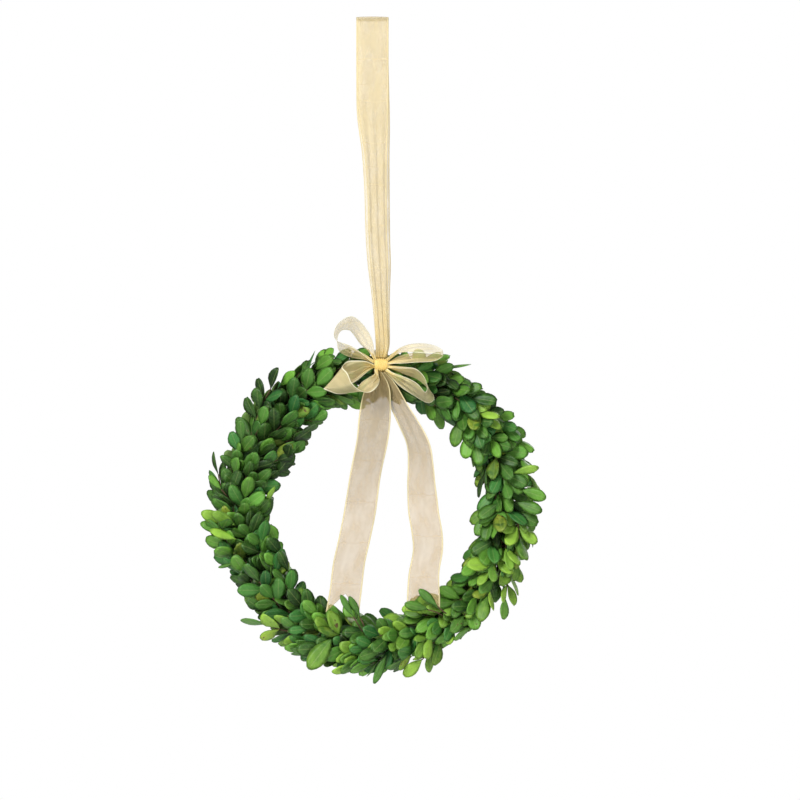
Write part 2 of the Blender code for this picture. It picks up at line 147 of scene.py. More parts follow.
def smooth_rows(stations: Sequence[Sequence[float]], at: Array) -> Array:
    """A Catmull-Rom curve through stations. Between two of them it is the cubic whose slope at each
    station is half the step from the station before to the one after.

    Args:
        stations: the rows to pass through, each of several numbers.
        at: where to read the curve, from 0 at the first station to 1 at the last, of any shape.

    Returns:
        One row of numbers for each value in at.
    """
    rows = np.asarray(stations, float)
    ends = 2 * rows[[0, -1]] - rows[[1, -2]]
    padded = np.vstack((ends[:1], rows, ends[1:]))
    place = np.clip(at, 0, 1) * (len(rows) - 1)
    first = np.minimum(place.astype(int), len(rows) - 2)
    t = (place - first)[..., None]
    a, b, c, d = (padded[first + step] for step in range(4))
    curve = 2 * b + (c - a) * t + (2 * a - 5 * b + 4 * c - d) * t**2
    return (curve + (3 * b - a - 3 * c + d) * t**3) / 2


def tube(path: Array, radii: Array, sides: int, closed: bool = False) -> Surface:
    """A round tube: each row is a circle square to the path, turned as little as possible from the row
    before.

    Args:
        path: the points of its middle line.
        radii: its radius at each of them.
        sides: vertices round it, an even number.
        closed: whether it is a ring. Otherwise its ends are capped.

    Returns:
        The tube, with u round it and v along it in metres.
    """
    ahead = np.roll(path, -1, 0) - np.roll(path, 1, 0) if closed else np.gradient(path, axis=0)
    ahead = unit(ahead)
    normals = np.empty_like(path)
    normal = unit(np.cross(ahead[0], ASKEW))
    for i, direction in enumerate(ahead):
        normal = unit(normal - direction * (normal @ direction))
        normals[i] = normal
    if closed:
        last = unit(normals[-1] - ahead[0] * (normals[-1] @ ahead[0]))
        slip = math.atan2(np.cross(last, normals[0]) @ ahead[0], last @ normals[0])
        turn = (slip * np.arange(len(path)) / len(path))[:, None]
        normals = normals * np.cos(turn) + np.cross(ahead, normals) * np.sin(turn)
    across = np.cross(ahead, normals)
    round_it = math.tau * np.arange(sides) / sides
    ring = normals[:, None] * np.cos(round_it)[:, None] + across[:, None] * np.sin(round_it)[:, None]
    points = (path[:, None] + ring * radii[:, None, None]).reshape(-1, 3)
    rows = len(path)
    quads = grid_quads(rows, sides, rows_close=closed, columns_close=True)
    length = along_path(np.vstack((path, path[:1])))
    column, row = quads % sides, quads // sides
    column[:, 1:3], row[:, 2:] = column[:, :1] + 1, row[:, :1] + 1
    uv = np.stack((column * math.tau / sides * radii.mean(), length[row]), -1)
    if not closed:
        fan = np.array([(0, k + 2, k + 1, k) for k in range(1, sides - 2, 2)])
        far = fan[:, ::-1] + (rows - 1) * sides
        quads = np.vstack((quads, fan, far))
        uv = np.vstack((uv, np.zeros((2 * len(fan), 4, 2))))
    return Surface(points, quads, uv, np.zeros((len(quads), 3)))


# Nodes of the finishes


def linear(hex_colour: str) -> tuple[float, float, float, float]:
    """A colour such as #8CB04A, from sRGB to the linear values that a socket holds."""
    channels = [int(hex_colour[i : i + 2], 16) / 255 for i in (1, 3, 5)]
    return (*[c / 12.92 if c <= 0.04045 else ((c + 0.055) / 1.055) ** 2.4 for c in channels], 1.0)


def set_inputs(tree: Tree, node: bpy.types.Node, inputs: dict[Any, Any]) -> None:
    """Gives a node's sockets, by name or number, their values or the outputs that they link to."""
    for name, value in inputs.items():
        if isinstance(value, Socket):
            tree.links.new(value, node.inputs[name])
        else:
            node.inputs[name].default_value = value


def add_node(tree: Tree, kind: str, inputs: dict[Any, Any] | None = None, **settings: Any) -> bpy.types.Node:
    """One node, with its settings, its sockets' values and its links.

    Args:
        tree: the material's nodes.
        kind: the node's type, without the prefix ShaderNode.
        inputs: for a socket's name or number, a value or an output to link.
        settings: the node's own properties.

    Returns:
        The node.
    """
    node = tree.nodes.new("ShaderNode" + kind)
    for name, value in settings.items():
        setattr(node, name, value)
    set_inputs(tree, node, inputs or {})
    return node


def start_material(name: str) -> tuple[bpy.types.Material, Tree, bpy.types.Node]:
    """A new material, its nodes and its Principled BSDF."""
    material = bpy.data.materials.new(name)
    material.use_nodes = True
    return material, material.node_tree, material.node_tree.nodes["Principled BSDF"]


@dataclass(frozen=True)
class BoxwoodLeaf:
    """Preserved boxwood: a real leaf soaked in glycerin and dye. Its waxy upper face keeps a soft shine,
    with a pale midrib and faint side veins. Its lower face is paler and matt.

    A face's marks are its leaf's tone, a number that differs from leaf to leaf, and 1 on the lower face.
    """

    name: str
    shade: str  # the darkest leaves
    full: str  # the lightest leaves
    vein: str = "#A3B86C"
    lower: str = "#7A9A52"
    cool: str = "#2F7A3A"  # where more of the dye has stayed
    yellowed: str = "#A9B43C"
    brown: str = "#5A4524"

    MOTTLE = 5 * MM  # size of its clouds of lighter green
    GRAIN = 0.5 * MM  # cell relief, drawn coarser than the real 0.05 mm so that it shows
    SIDE_VEINS = 7
    VEIN_SLANT = 0.30
    # Where a mark on the leaf starts and where it is full. Rib and margin: off the rib, as a share of half
    # the width. Side veins: up their wave. Old and speckled leaves: up the number that differs from leaf
    # to leaf. The yellow of an old leaf and the specks: up the clouds.
    RIB = (0.09, 0.02)
    VEIN = (0.70, 1.0)
    MARGIN = (0.90, 1.0)
    OLD = (0.93, 1.02)
    SPECKLED = (0.80, 0.86)
    YELLOW_CLOUD = (0.20, 0.80)
    SPECK = (0.66, 0.72)
    PALENESS = (0.07, 0.26, 0.16)  # of side veins, rib and margin
    CLOUD_SHIFT = 0.16  # how far a cloud moves the green, both ways
    TIP_SHIFT = 0.30  # how much lighter the green is at the tip than at the foot
    DYED = (0.22, 0.10, 0.6)  # leaves below the first number start to be cool, and below the second are
    LOWER_SHARE = 0.75  # of the lower face's own colour
    DEPTHS = (0.35, 1.0)  # of side veins and rib, against the grain's
    RELIEF, STRENGTH = 0.2 * MM, 0.35
    WAX, MATT = 0.46, 0.72  # roughness of the upper and the lower face
    CUTICLE_IOR = 1.42

    def masks(
        self, node: partial, off_rib: Socket, along: Socket, chance: Socket, cloud: Socket
    ) -> list[Socket]:
        """Where the marks on a leaf are, from 0 to 1. Side veins are a sine wave along the leaf that
        slants with the distance from the rib.

        Args:
            node: adds a node to the material.
            off_rib: the distance from the rib.
            along: the distance from the foot.
            chance: the number that differs from leaf to leaf.
            cloud: the noise of its clouds.

        Returns:
            The rib, the side veins, the margin, old leaves, speckled leaves, an old leaf's yellow, specks.
        """
        slant = node("Math", {0: off_rib, 1: -self.VEIN_SLANT, 2: along}, operation="MULTIPLY_ADD").outputs[0]
        phase = node("Math", {0: slant, 1: self.SIDE_VEINS * math.tau}, operation="MULTIPLY").outputs[0]
        wave = node("Math", {0: phase}, operation="SINE").outputs[0]
        steps = (
            (off_rib, self.RIB),
            (wave, self.VEIN),
            (off_rib, self.MARGIN),
            (chance, self.OLD),
            (chance, self.SPECKLED),
            (cloud, self.YELLOW_CLOUD),
            (cloud, self.SPECK),
        )
        return [
            node("MapRange", {0: value, 1: low, 2: high}, interpolation_type="SMOOTHSTEP").outputs[0]
            for value, (low, high) in steps
        ]

    def material(self) -> bpy.types.Material:
        """The finish, as nodes that read the leaf's UV map and its marks.

        Returns:
            The material.
        """
        made, tree, shader = start_material(self.name)
        node = partial(add_node, tree)
        marks = node("Attribute", attribute_name="marks").outputs["Vector"]
        tone, chance, lower = node("SeparateXYZ", {0: marks}).outputs
        uv = node("UVMap", uv_map="leaf").outputs["UV"]
        along, across, _ = node("SeparateXYZ", {0: uv}).outputs
        off_rib = node("Math", {0: across}, operation="ABSOLUTE").outputs[0]
        place = node("TexCoord").outputs["Object"]
        cloud, grain = (
            node("TexNoise", {"Vector": place, "Scale": 1 / size, "Detail": detail}).outputs["Fac"]
            for size, detail in ((self.MOTTLE, 3.0), (self.GRAIN, 1.0))
        )
        found = self.masks(node, off_rib, along, chance, cloud)
        rib, vein, margin, old, speckled, cloudy, speck = found

        shift = {0: cloud, 1: CLOUD_LOW, 2: CLOUD_HIGH, 3: -self.CLOUD_SHIFT, 4: self.CLOUD_SHIFT}
        share = node("MapRange", shift).outputs[0]
        share = node("Math", {0: tone, 1: share}, operation="ADD").outputs[0]
        share = node("Math", {0: along, 1: self.TIP_SHIFT, 2: share}, operation="MULTIPLY_ADD").outputs[0]
        half = {0: share, 1: self.TIP_SHIFT / 2}
        share = node("Math", half, operation="SUBTRACT", use_clamp=True).outputs[0]
        none, all_dyed, most = self.DYED
        dyed = node("MapRange", {0: chance, 1: none, 2: all_dyed, 4: most}).outputs[0]
        yellow = node("Math", {0: old, 1: cloudy}, operation="MULTIPLY").outputs[0]
        spots = node("Math", {0: speck, 1: speckled}, operation="MULTIPLY").outputs[0]
        paler = node("Math", {0: lower, 1: self.LOWER_SHARE}, operation="MULTIPLY").outputs[0]
        lines = 0.0
        for line, paleness in zip((vein, rib, margin), self.PALENESS):
            lines = node("Math", {0: line, 1: paleness, 2: lines}, operation="MULTIPLY_ADD").outputs[0]
        layers = (
            (share, self.full),
            (dyed, self.cool),
            (yellow, self.yellowed),
            (spots, self.brown),
            (lines, self.vein),
            (paler, self.lower),
        )
        green = linear(self.shade)
        for amount, colour in layers:
            green = node("Mix", {0: amount, 6: green, 7: linear(colour)}, data_type="RGBA").outputs[2]

        relief = grain
        for line, depth in zip((vein, rib), self.DEPTHS):
            relief = node("Math", {0: line, 1: -depth, 2: relief}, operation="MULTIPLY_ADD").outputs[0]
        bumps = {"Height": relief, "Strength": self.STRENGTH, "Distance": self.RELIEF}
        bump = node("Bump", bumps).outputs[0]
        rough = node("MapRange", {0: lower, 3: self.WAX, 4: self.MATT}).outputs[0]
        looks = {"Base Color": green, "Roughness": rough, "Normal": bump, "IOR": self.CUTICLE_IOR}
        set_inputs(tree, shader, looks)
        return made


@dataclass(frozen=True)
class Bark:
    """Young boxwood bark: grey brown, with fine cracks that run along the twig."""

    name: str
    dark: str = "#3B2C1C"
    light: str = "#7A6344"

    CRACK = 0.6 * MM  # from one crack to the next
    STRETCH = 0.12  # a crack is this much narrower than it is long
    SHADES = (0.35, 0.65)  # up the noise, where it is all dark and all light
    DEPTH, STRENGTH = 0.3 * MM, 0.6
    ROUGHNESS = 0.82

    def material(self) -> bpy.types.Material:
        """The finish, with cracks that follow the UV map."""
        made, tree, shader = start_material(self.name)
        node = partial(add_node, tree)
        uv = node("UVMap", uv_map="leaf").outputs["UV"]
        size = (1 / self.CRACK, self.STRETCH / self.CRACK, 1.0)
        fibre = node("Mapping", {"Vector": uv, "Scale": size}).outputs[0]
        cracks = node("TexNoise", {"Vector": fibre, "Scale": 1.0, "Detail": 4.0}).outputs["Fac"]
        share = node("MapRange", {0: cracks, 1: self.SHADES[0], 2: self.SHADES[1]}).outputs[0]
        colours = {0: share, 6: linear(self.dark), 7: linear(self.light)}
        brown = node("Mix", colours, data_type="RGBA").outputs[2]
        bumps = {"Height": cracks, "Strength": self.STRENGTH, "Distance": self.DEPTH}
        bump = node("Bump", bumps).outputs[0]
        set_inputs(tree, shader, {"Base Color": brown, "Roughness": self.ROUGHNESS, "Normal": bump})
        return made


@dataclass(frozen=True)
class EnamelledWire:
    """Florist's paddle wire: soft iron, dipped in dark green enamel that has chipped a little."""

    name: str
    enamel: str = "#1F3A24"
    chipped: str = "#4C4A42"

    CHIP = 1.5 * MM
    CHIPPED = (0.60, 0.66)  # up the noise, where a chip starts and where it is bare
    GLOSS, BARE = 0.32, 0.60  # roughness of the enamel and of the iron

    def material(self) -> bpy.types.Material:
        """The finish, with chips by a noise."""
        made, tree, shader = start_material(self.name)
        node = partial(add_node, tree)
        place = node("TexCoord").outputs["Object"]
        noise = node("TexNoise", {"Vector": place, "Scale": 1 / self.CHIP, "Detail": 2.0}).outputs["Fac"]
        chips = node("MapRange", {0: noise, 1: self.CHIPPED[0], 2: self.CHIPPED[1]}).outputs[0]
        colours = {0: chips, 6: linear(self.enamel), 7: linear(self.chipped)}
        colour = node("Mix", colours, data_type="RGBA").outputs[2]
        rough = node("MapRange", {0: chips, 3: self.GLOSS, 4: self.BARE}).outputs[0]
        set_inputs(tree, shader, {"Base Color": colour, "Roughness": rough})
        return made


@dataclass(frozen=True)
class Organza:
    """Polyester organza ribbon: a sheer plain weave of stiff, bright threads, with a dense woven edge. It
    lets the leaves behind it show, and its cloth looks lighter where the threads lie closer. A wall has
    two faces, so each one lets through the square root of what the cloth lets through.
    """

    name: str
    cloth: str
    edge: str
    cover: float  # share of the light that one layer stops
    gather: str = "#FFEAA0"  # where folds lie on each other at the knot
    dense: float = 0.85  # and what those stop
    painted_shadow: float = 0.0  # share of painted shadow beside the knot, where the bow's shade falls on the tail: a darker tone and a denser cloth
    painted_glow: float = 0.0  # painted glow: the cloth emits this share of its own colour, standing in for the white studio's light that comes through from behind

    WIDTH = 24 * MM
    EDGE = 1.0 * MM
    EDGE_BLUR = 0.2 * MM
    EDGE_COVER = 0.92
    THREAD = 0.9 * MM  # drawn coarser than the real 0.25 mm so that it shows
    THREAD_COVER = 0.018
    CLOUD = 10 * MM  # patches where the threads lie closer, longer than they are wide
    CLOUD_STRETCH = 0.4
    CLOUD_COVER = 0.09
    CREASE = 31 * MM  # from one crease of its folded packing to the next
    CREASE_WIDTH = 0.992  # of the wave's height, above which it is crease
    CREASE_COVER = 0.05
    CREASE_SLANT = 1.2  # how far the clouds bend it
    CREASE_RISE = 20.0  # its height, against a thread's
    GATHERED = (0.45, 0.80)  # share of the width that is taken up: where bunching starts, and is full
    # The painted shadow of the bow on a tail: its dark tone, how far down from the knot it reaches, and the
    # cover that it adds
    PAINTED_SHADOW_TONE = "#92825A"
    PAINTED_SHADOW_LENGTH = 110 * MM
    PAINTED_SHADOW_COVER = 0.27
    RELIEF, STRENGTH = 0.06 * MM, 0.2
    ROUGHNESS = 0.5
    SHEEN = 0.45

    def weave(self, node: partial, uv: Socket, across: Socket, along: Socket) -> tuple[Socket, ...]:
        """What the threads do. They are two sine waves, the clouds are a stretched noise, and creases are
        the crests of a sine wave along the ribbon that the clouds bend.

        Args:
            node: adds a node to the material.
            uv: the place in the cloth, in metres.
            across: the place across it.
            along: the place along it.

        Returns:
            The threads' waves, and how much the clouds and the creases add to the cover.
        """
        waves = []
        for way in (across, along):
            turns = node("Math", {0: way, 1: math.tau / self.THREAD}, operation="MULTIPLY").outputs[0]
            waves.append(node("Math", {0: turns}, operation="SINE").outputs[0])
        threads = node("Math", {0: waves[0], 1: waves[1]}, operation="ADD").outputs[0]
        size = (1 / self.CLOUD, self.CLOUD_STRETCH / self.CLOUD, 1.0)
        patches = node("Mapping", {"Vector": uv, "Scale": size}).outputs[0]
        clouds = node("TexNoise", {"Vector": patches, "Scale": 1.0, "Detail": 5.0}).outputs["Fac"]
        closer = {0: clouds, 1: CLOUD_LOW, 2: CLOUD_HIGH, 3: -self.CLOUD_COVER, 4: self.CLOUD_COVER}
        cloud = node("MapRange", closer).outputs[0]
        bands = node("Math", {0: along, 1: math.tau / self.CREASE}, operation="MULTIPLY").outputs[0]
        bent = {0: clouds, 1: self.CREASE_SLANT, 2: bands}
        bands = node("Math", bent, operation="MULTIPLY_ADD").outputs[0]
        band = node("Math", {0: bands}, operation="SINE").outputs[0]
        crease = node("MapRange", {0: band, 1: self.CREASE_WIDTH, 2: 1.0, 4: self.CREASE_COVER}).outputs[0]
        return threads, cloud, crease

    def material(self) -> bpy.types.Material:
        """The finish, with threads and edges that follow the UV map, in metres. Its cover is that of the
        cloth, plus a little where threads cross, in clouds, on creases and, as painted shadow of the bow,
        beside the knot, where its colour is darker too.

        Returns:
            The material.
        """
        made, tree, shader = start_material(self.name)
        node = partial(add_node, tree)
        uv = node("UVMap", uv_map="cloth").outputs["UV"]
        across, along, _ = node("SeparateXYZ", {0: uv}).outputs
        from_middle = node("Math", {0: across}, operation="ABSOLUTE").outputs[0]
        start, blur = self.WIDTH / 2 - self.EDGE, self.EDGE_BLUR
        edge = node("MapRange", {0: from_middle, 1: start - blur, 2: start + blur}).outputs[0]
        threads, cloud, crease = self.weave(node, uv, across, along)

        marks = node("Attribute", attribute_name="marks").outputs["Vector"]
        gathered = node("SeparateXYZ", {0: marks}).outputs[0]
        loose, tight = self.GATHERED
        bunched = node("MapRange", {0: gathered, 1: loose, 2: tight}).outputs[0]
        # painted shadow of the bow: full at the knot and fading down the ribbon
        painted_shadow_share = node("MapRange", {0: along, 2: self.PAINTED_SHADOW_LENGTH, 3: self.painted_shadow, 4: 0.0}).outputs[0]
        face, dense, woven = (1 - math.sqrt(1 - cover) for cover in (self.cover, self.dense, self.EDGE_COVER))
        base = node("Mix", {0: bunched, 2: face, 3: dense}).outputs[0]
        cover = {0: threads, 1: self.THREAD_COVER, 2: cloud}
        cover = node("Math", cover, operation="MULTIPLY_ADD").outputs[0]
        for more in (base, crease):
            cover = node("Math", {0: cover, 1: more}, operation="ADD").outputs[0]
        cover = {0: painted_shadow_share, 1: self.PAINTED_SHADOW_COVER, 2: cover}
        cover = node("Math", cover, operation="MULTIPLY_ADD", use_clamp=True).outputs[0]
        alpha = node("Mix", {0: edge, 2: cover, 3: woven}).outputs[0]

        colour = linear(self.cloth)
        # the gathered yellow, then the painted shadow of the bow, then the woven edge
        for share, tone in ((bunched, self.gather), (painted_shadow_share, self.PAINTED_SHADOW_TONE), (edge, self.edge)):
            colour = node("Mix", {0: share, 6: colour, 7: linear(tone)}, data_type="RGBA").outputs[2]
        rise = {0: crease, 1: self.CREASE_RISE, 2: threads}
        rise = node("Math", rise, operation="MULTIPLY_ADD").outputs[0]
        bumps = {"Height": rise, "Strength": self.STRENGTH, "Distance": self.RELIEF}
        looks = {
            "Base Color": colour,
            # painted glow: the cloth emits its own colour
            "Emission Color": colour,
            "Emission Strength": self.painted_glow,
            "Alpha": alpha,
            "Normal": node("Bump", bumps).outputs[0],
            "Roughness": self.ROUGHNESS,
            "Sheen Weight": self.SHEEN,
            "Sheen Tint": linear(self.edge),
        }
        set_inputs(tree, shader, looks)
        return made


class Green(Enum):
    """The three greens of the leaves, named as the record's slots are."""

    DEEP = BoxwoodLeaf("boxwood_deep", "#18330F", "#5A9437")
    MID = BoxwoodLeaf("boxwood_mid", "#204817", "#77B63F")
    FRESH = BoxwoodLeaf("boxwood_fresh", "#356A22", "#A2D14A")


BARK = Bark("twig_bark")
WIRE = EnamelledWire("green_wire")
# One organza in four copies. The hanger's is the plain cloth. The bow's is a lit copy, lighter, with a
# painted glow. The tail's is a shaded copy, darker, with a painted shadow of the bow near the knot. The
# knot's is yellower where the cloth lies in many layers, and is a lit copy too, with a painted glow.
RIBBON = Organza("cream_organza", "#ECD9A5", "#F2E2B0", 0.56)
LIT_BOW_RIBBON = Organza("cream_organza_bow", "#F6E6B2", "#FFFADC", 0.62, painted_glow=0.04)
SHADED_TAIL_RIBBON = Organza("cream_organza_tail", "#D0B480", "#F4E6B4", 0.61, painted_shadow=0.85)
LIT_KNOT_RIBBON = Organza("cream_organza_knot", "#FFE594", "#FFEA98", 0.95, painted_glow=0.09)


class FinishRack:
    """The materials made so far, each of them once."""

    def __init__(self) -> None:
        """Starts with none."""
        self.made: dict[str, bpy.types.Material] = {}

    def get(self, finish: Any) -> bpy.types.Material:
        """The finish's material.

        Args:
            finish: one of the finishes above.

        Returns:
            The material, which is made when it is first asked for.
        """
        if finish.name not in self.made:
            self.made[finish.name] = finish.material()
        return self.made[finish.name]


RACK = FinishRack()


def new_object(name: str, data: bpy.types.ID) -> bpy.types.Object:
    """An object that is in the scene."""
    made = bpy.data.objects.new(name, data)
    bpy.context.scene.collection.objects.link(made)
    return made


def give_wall(piece: bpy.types.Object, thickness: float) -> None:
    """Cloth on both sides of a sheet."""
    wall = piece.modifiers.new("cloth", "SOLIDIFY")
    wall.thickness, wall.offset = thickness, 0


def new_piece(
    name: str, surface: Surface, finishes: Sequence[Any], uv_map: str = "leaf"
) -> bpy.types.Object:
    """A mesh object at the origin that rides on the wreath.

    Args:
        name: the piece's name.
        surface: its faces. Those marked as wood take the second finish, where there is one.
        finishes: its finishes.
        uv_map: the name of its UV map.

    Returns:
        The object.
    """
    mesh = bpy.data.meshes.new(name)
    count = len(surface.quads)
    mesh.vertices.add(len(surface.points))
    mesh.vertices.foreach_set("co", surface.points.astype(np.float32).ravel())
    mesh.loops.add(4 * count)
    mesh.loops.foreach_set("vertex_index", surface.quads.astype(np.int32).ravel())
    mesh.polygons.add(count)
    mesh.polygons.foreach_set("loop_start", np.arange(0, 4 * count, 4, dtype=np.int32))
    second = (surface.marks[:, 2] >= WOOD).astype(np.int32)
    mesh.polygons.foreach_set("material_index", np.minimum(second, len(finishes) - 1))
    mesh.update(calc_edges=True)
    mesh.uv_layers.new(name=uv_map).data.foreach_set("uv", surface.uv.astype(np.float32).ravel())
    marks = mesh.attributes.new("marks", "FLOAT_VECTOR", "FACE")
    marks.data.foreach_set("vector", surface.marks.astype(np.float32).ravel())
    mesh.shade_smooth()
    for finish in finishes:
        mesh.materials.append(RACK.get(finish))
    piece = new_object(name, mesh)
    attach(piece, BODY)
    LOG.info("%s: %d faces", name, count)
    return piece


# The ring, and twigs laid on it


@dataclass(frozen=True)
class Ring:
    """The twig ring's place, read from the frame."""

    centre: Array
    radius: float

    TUBE_RADIUS = 3.5 * MM
    CENTRE_Z = -366 * MM

    @classmethod
    def from_frame(cls) -> Ring:
        """The ring whose box the frame gives."""
        low, high = (np.array(corner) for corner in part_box("twig_ring"))
        centre = (low + high) / 2 * (1, 1, 0) + (0, 0, cls.CENTRE_Z)
        return cls(centre, (high[0] - low[0]) / 2 - cls.TUBE_RADIUS)

    def radial(self, clock: Array) -> Array:
        """The direction away from the wreath's centre."""
        clock = np.asarray(clock)
        return np.stack((np.sin(clock), np.zeros_like(clock), np.cos(clock)), -1)

    def outward(self, clock: Array, around: Array) -> Array:
        """The direction out of the ring's tube, at an angle round its section."""
        return self.radial(clock) * np.cos(around)[..., None] + FRONT * np.sin(around)[..., None]

    def point(self, clock: Array, around: Array, off: Array) -> Array:
        """A point at a distance off the ring's middle line."""
        clock, around, off = np.broadcast_arrays(clock, around, off)
        return self.centre + self.radial(clock) * self.radius + self.outward(clock, around) * off[..., None]


RING = Ring.from_frame()


@dataclass
class Twig:
    """A twig laid clockwise on the ring: flat at its foot, then rising out of the foliage."""

    clock: float
    around: float
    reach: float  # how far its tip is off the ring's middle line
    sway: float  # how far it leans round the section
    facing: float  # which way its leaves face, as an angle round the section
    back: float  # 1 where it lies against the wall, 0 on the front
    length: float = 47 * MM
    radius: float = 0.85 * MM
    pinch: float = 0.42  # how much flatter it lies beside the strap

    BARE = 10 * MM
    LYING = 4.7 * MM  # off the ring's middle line, where it is tied
    RISE_POWER = 1.2
    PINCH_REACH = 18 * MM
    TAPER = 0.55
    SIDES = 6
    ROWS = 14

    def clock_at(self, along: Array) -> Array:
        """The clock angle at a distance along the twig."""
        return self.clock + np.asarray(along) / RING.radius

    def place(self, along: Array) -> Array:
        """Off the ring by a power of the rise, and less so beside the strap."""
        rise = np.maximum(0.0, np.asarray(along) - self.BARE) / (self.length - self.BARE)
        clock = self.clock_at(along)
        strap_clock = math.asin(STRAP_X / RING.radius)
        from_strap = ((clock - strap_clock + math.pi) % math.tau - math.pi) * RING.radius
        pinch = self.pinch * np.exp(-((from_strap / self.PINCH_REACH) ** 2))
        off = self.LYING + (self.reach - self.LYING) * rise**self.RISE_POWER * (1 - pinch)
        return RING.point(clock, self.around + self.sway * rise, off)

    def axes(self, along: float) -> tuple[Array, Array, Array]:
        """The twig's place, its direction and the way that its leaves face."""
        ahead = unit(self.place(along + MM) - self.place(along - MM))
        out = RING.outward(self.clock_at(along), np.asarray(self.facing))
        return self.place(along), ahead, unit(out - ahead * (out @ ahead))

    def stem(self, end: float | None = None) -> Surface:
        """The twig's wood, a tube that thins to its tip or to where it was cut. Its marks pick the bark."""
        along = np.linspace(0, self.length if end is None else end, self.ROWS)
        radii = self.radius * (1 + (self.TAPER - 1) * along / self.length)
        made = tube(self.place(along), radii, self.SIDES)
        made.marks[:, 2] = WOOD
        return made


@dataclass(frozen=True)
class LeafForm:
    """A boxwood leaf's form: a wedge at its foot, widest past the middle, with a round or notched tip.

    A grid of rows across and columns along covers the upper face, and another the lower one. They share
    the vertices of the margin.
    """

    rows_at_margin: Array = field(default_factory=lambda: np.array((0, 0.10, 0.25, 0.42, 0.60, 0.76, 0.874)))
    rows_at_rib: Array = field(default_factory=lambda: np.array((0, 0.105, 0.27, 0.46, 0.66, 0.85, 1.0)))
    columns: Array = field(default_factory=lambda: np.array((-1, -0.5, 0, 0.5, 1)))
    widest: float = 0.58
    foot: float = 0.022  # half the stalk's width, as a share of the leaf's width
    tip_turn: float = math.radians(48)  # how far round the tip's ellipse the last row reaches
    thickness: float = 0.42 * MM
    camber: float = 0.9 * MM
    groove: float = 0.12 * MM

    WEDGE_POWER = 1.15
    NOTCH_WIDTH, NOTCH_POWER = 0.3, 8
    DROOP_POWER = 1.7
    DRAPE_SCALE, DRAPE_START, DRAPE_POWER = 0.9, 0.08, 0.7
    FOLD_RISE = 3  # over the first third, from the foot
    WAVE_SLANT = 0.2

    def half_width(self, at: Array, point: float) -> Array:
        """Half the width, as a share of it: a quarter sine wave up to the widest place, and from there to
        the tip an ellipse's height raised to a power, which is higher the more the tip is pointed."""
        wedge = 0.5 * np.sin(math.pi / 2 * (np.minimum(at, self.widest) / self.widest) ** self.WEDGE_POWER)
        past = np.maximum(at - self.widest, 0) / (1 - self.widest)
        return np.maximum(np.where(at < self.widest, wedge, 0.5 * (1 - past**2) ** (0.5 + point)), self.foot)

    def middle(self, shape: LeafShape) -> Array:
        """The surface halfway through the blade, along +X with its upper face up. Rows bulge towards the
        tip as the ellipse does there, and a bell curve cuts the notch. The rib lies in a groove, the
        margins droop or lift by the camber, each half rises from the rib by the fold, and the blade bends
        by the square of the distance and twists evenly along its length."""
        v = self.columns[None, :]
        s, c = math.sin(self.tip_turn), math.cos(self.tip_turn)
        bulge = (np.sqrt(1 - (s * v) ** 2) - c) / (1 - c)
        margin, rib = self.rows_at_margin[:, None], self.rows_at_rib[:, None]
        notch = shape.notch * rib**self.NOTCH_POWER * np.exp(-((v / self.NOTCH_WIDTH) ** 2))
        x = margin + (rib - margin) * bulge - notch
        y = v * self.half_width(margin, shape.point) * shape.width
        drape = np.clip(margin * self.DRAPE_SCALE + self.DRAPE_START, 0, 1)
        drape = np.sin(math.pi * drape) ** self.DRAPE_POWER
        droop = self.camber * shape.cup * np.abs(v) ** self.DROOP_POWER
        z = -droop * drape - self.groove * (v == 0) * drape
        z = z + shape.fold * np.abs(y) * np.minimum(1, self.FOLD_RISE * x)
        wave = shape.wave * np.sin(math.tau * (x + self.WAVE_SLANT * v)) * v
        z = z - shape.bend * shape.length * x**2 + wave
        turn = shape.twist * x
        y, z = y * np.cos(turn) - z * np.sin(turn), y * np.sin(turn) + z * np.cos(turn)
        return np.stack((x * shape.length, y, z), -1)

    def surface(self, shape: LeafShape) -> Surface:
        """The closed blade in its place.

        Args:
            shape: its pose, sizes and tone.

        Returns:
            The blade. Its UV map runs along it from 0 to 1 and across it from -1 to 1.
        """
        middle = self.middle(shape)
        rows, columns = middle.shape[:2]
        swell = 0.5 * self.thickness * np.sqrt(1 - self.columns**2)[None, :] * np.ones((rows, 1))
        swell[[0, -1]] = 0
        lift = np.stack((0 * swell, 0 * swell, swell), -1)
        upper = (middle + lift).reshape(-1, 3)
        lower = (middle - lift)[1:-1, 1:-1].reshape(-1, 3)
        number = np.arange(rows * columns).reshape(rows, columns)
        under = number.copy()
        under[1:-1, 1:-1] = rows * columns + np.arange(len(lower)).reshape(rows - 2, columns - 2)
        quads = grid_quads(rows, columns)
        lower_quads = under.ravel()[quads]
        at = self.rows_at_rib[quads // columns]
        uv = np.stack((at, self.columns[quads % columns]), -1)
        marks = np.tile((shape.tone, shape.chance, 0.0), (2 * len(quads), 1))
        marks[len(quads) :, 2] = UNDERSIDE
        return Surface(
            shape.placed(np.vstack((upper, lower))),
            np.vstack((quads[:, ::-1], lower_quads)),
            np.vstack((uv[:, ::-1], uv)),
            marks,
        )

    def sketch(self, shape: LeafShape) -> tuple[Array, list[tuple[int, ...]]]:
        """A coarse blade for tests: every other row and column of the middle surface, without its foot."""
        points = shape.placed(self.middle(shape)[2::2, ::2].reshape(-1, 3))
        return points, SKETCH_QUADS


@dataclass
class LeafShape:
    """One leaf's pose, sizes and tone."""

    root: Array
    along: Array
    up: Array
    length: float
    width: float
    bend: float
    cup: float = 1.0
    twist: float = 0.0
    wave: float = 0.0
    notch: float = 0.0
    fold: float = 0.0
    point: float = 0.0
    tone: float = 0.5
    chance: float = 0.0

    def placed(self, points: Array) -> Array:
        """Points of the leaf's own frame, in the wreath's."""
        return points @ np.array((self.along, np.cross(self.up, self.along), self.up)) + self.root


LEAF = LeafForm()
SKETCH_QUADS = [tuple(int(i) for i in quad) for quad in grid_quads(3, 3)]


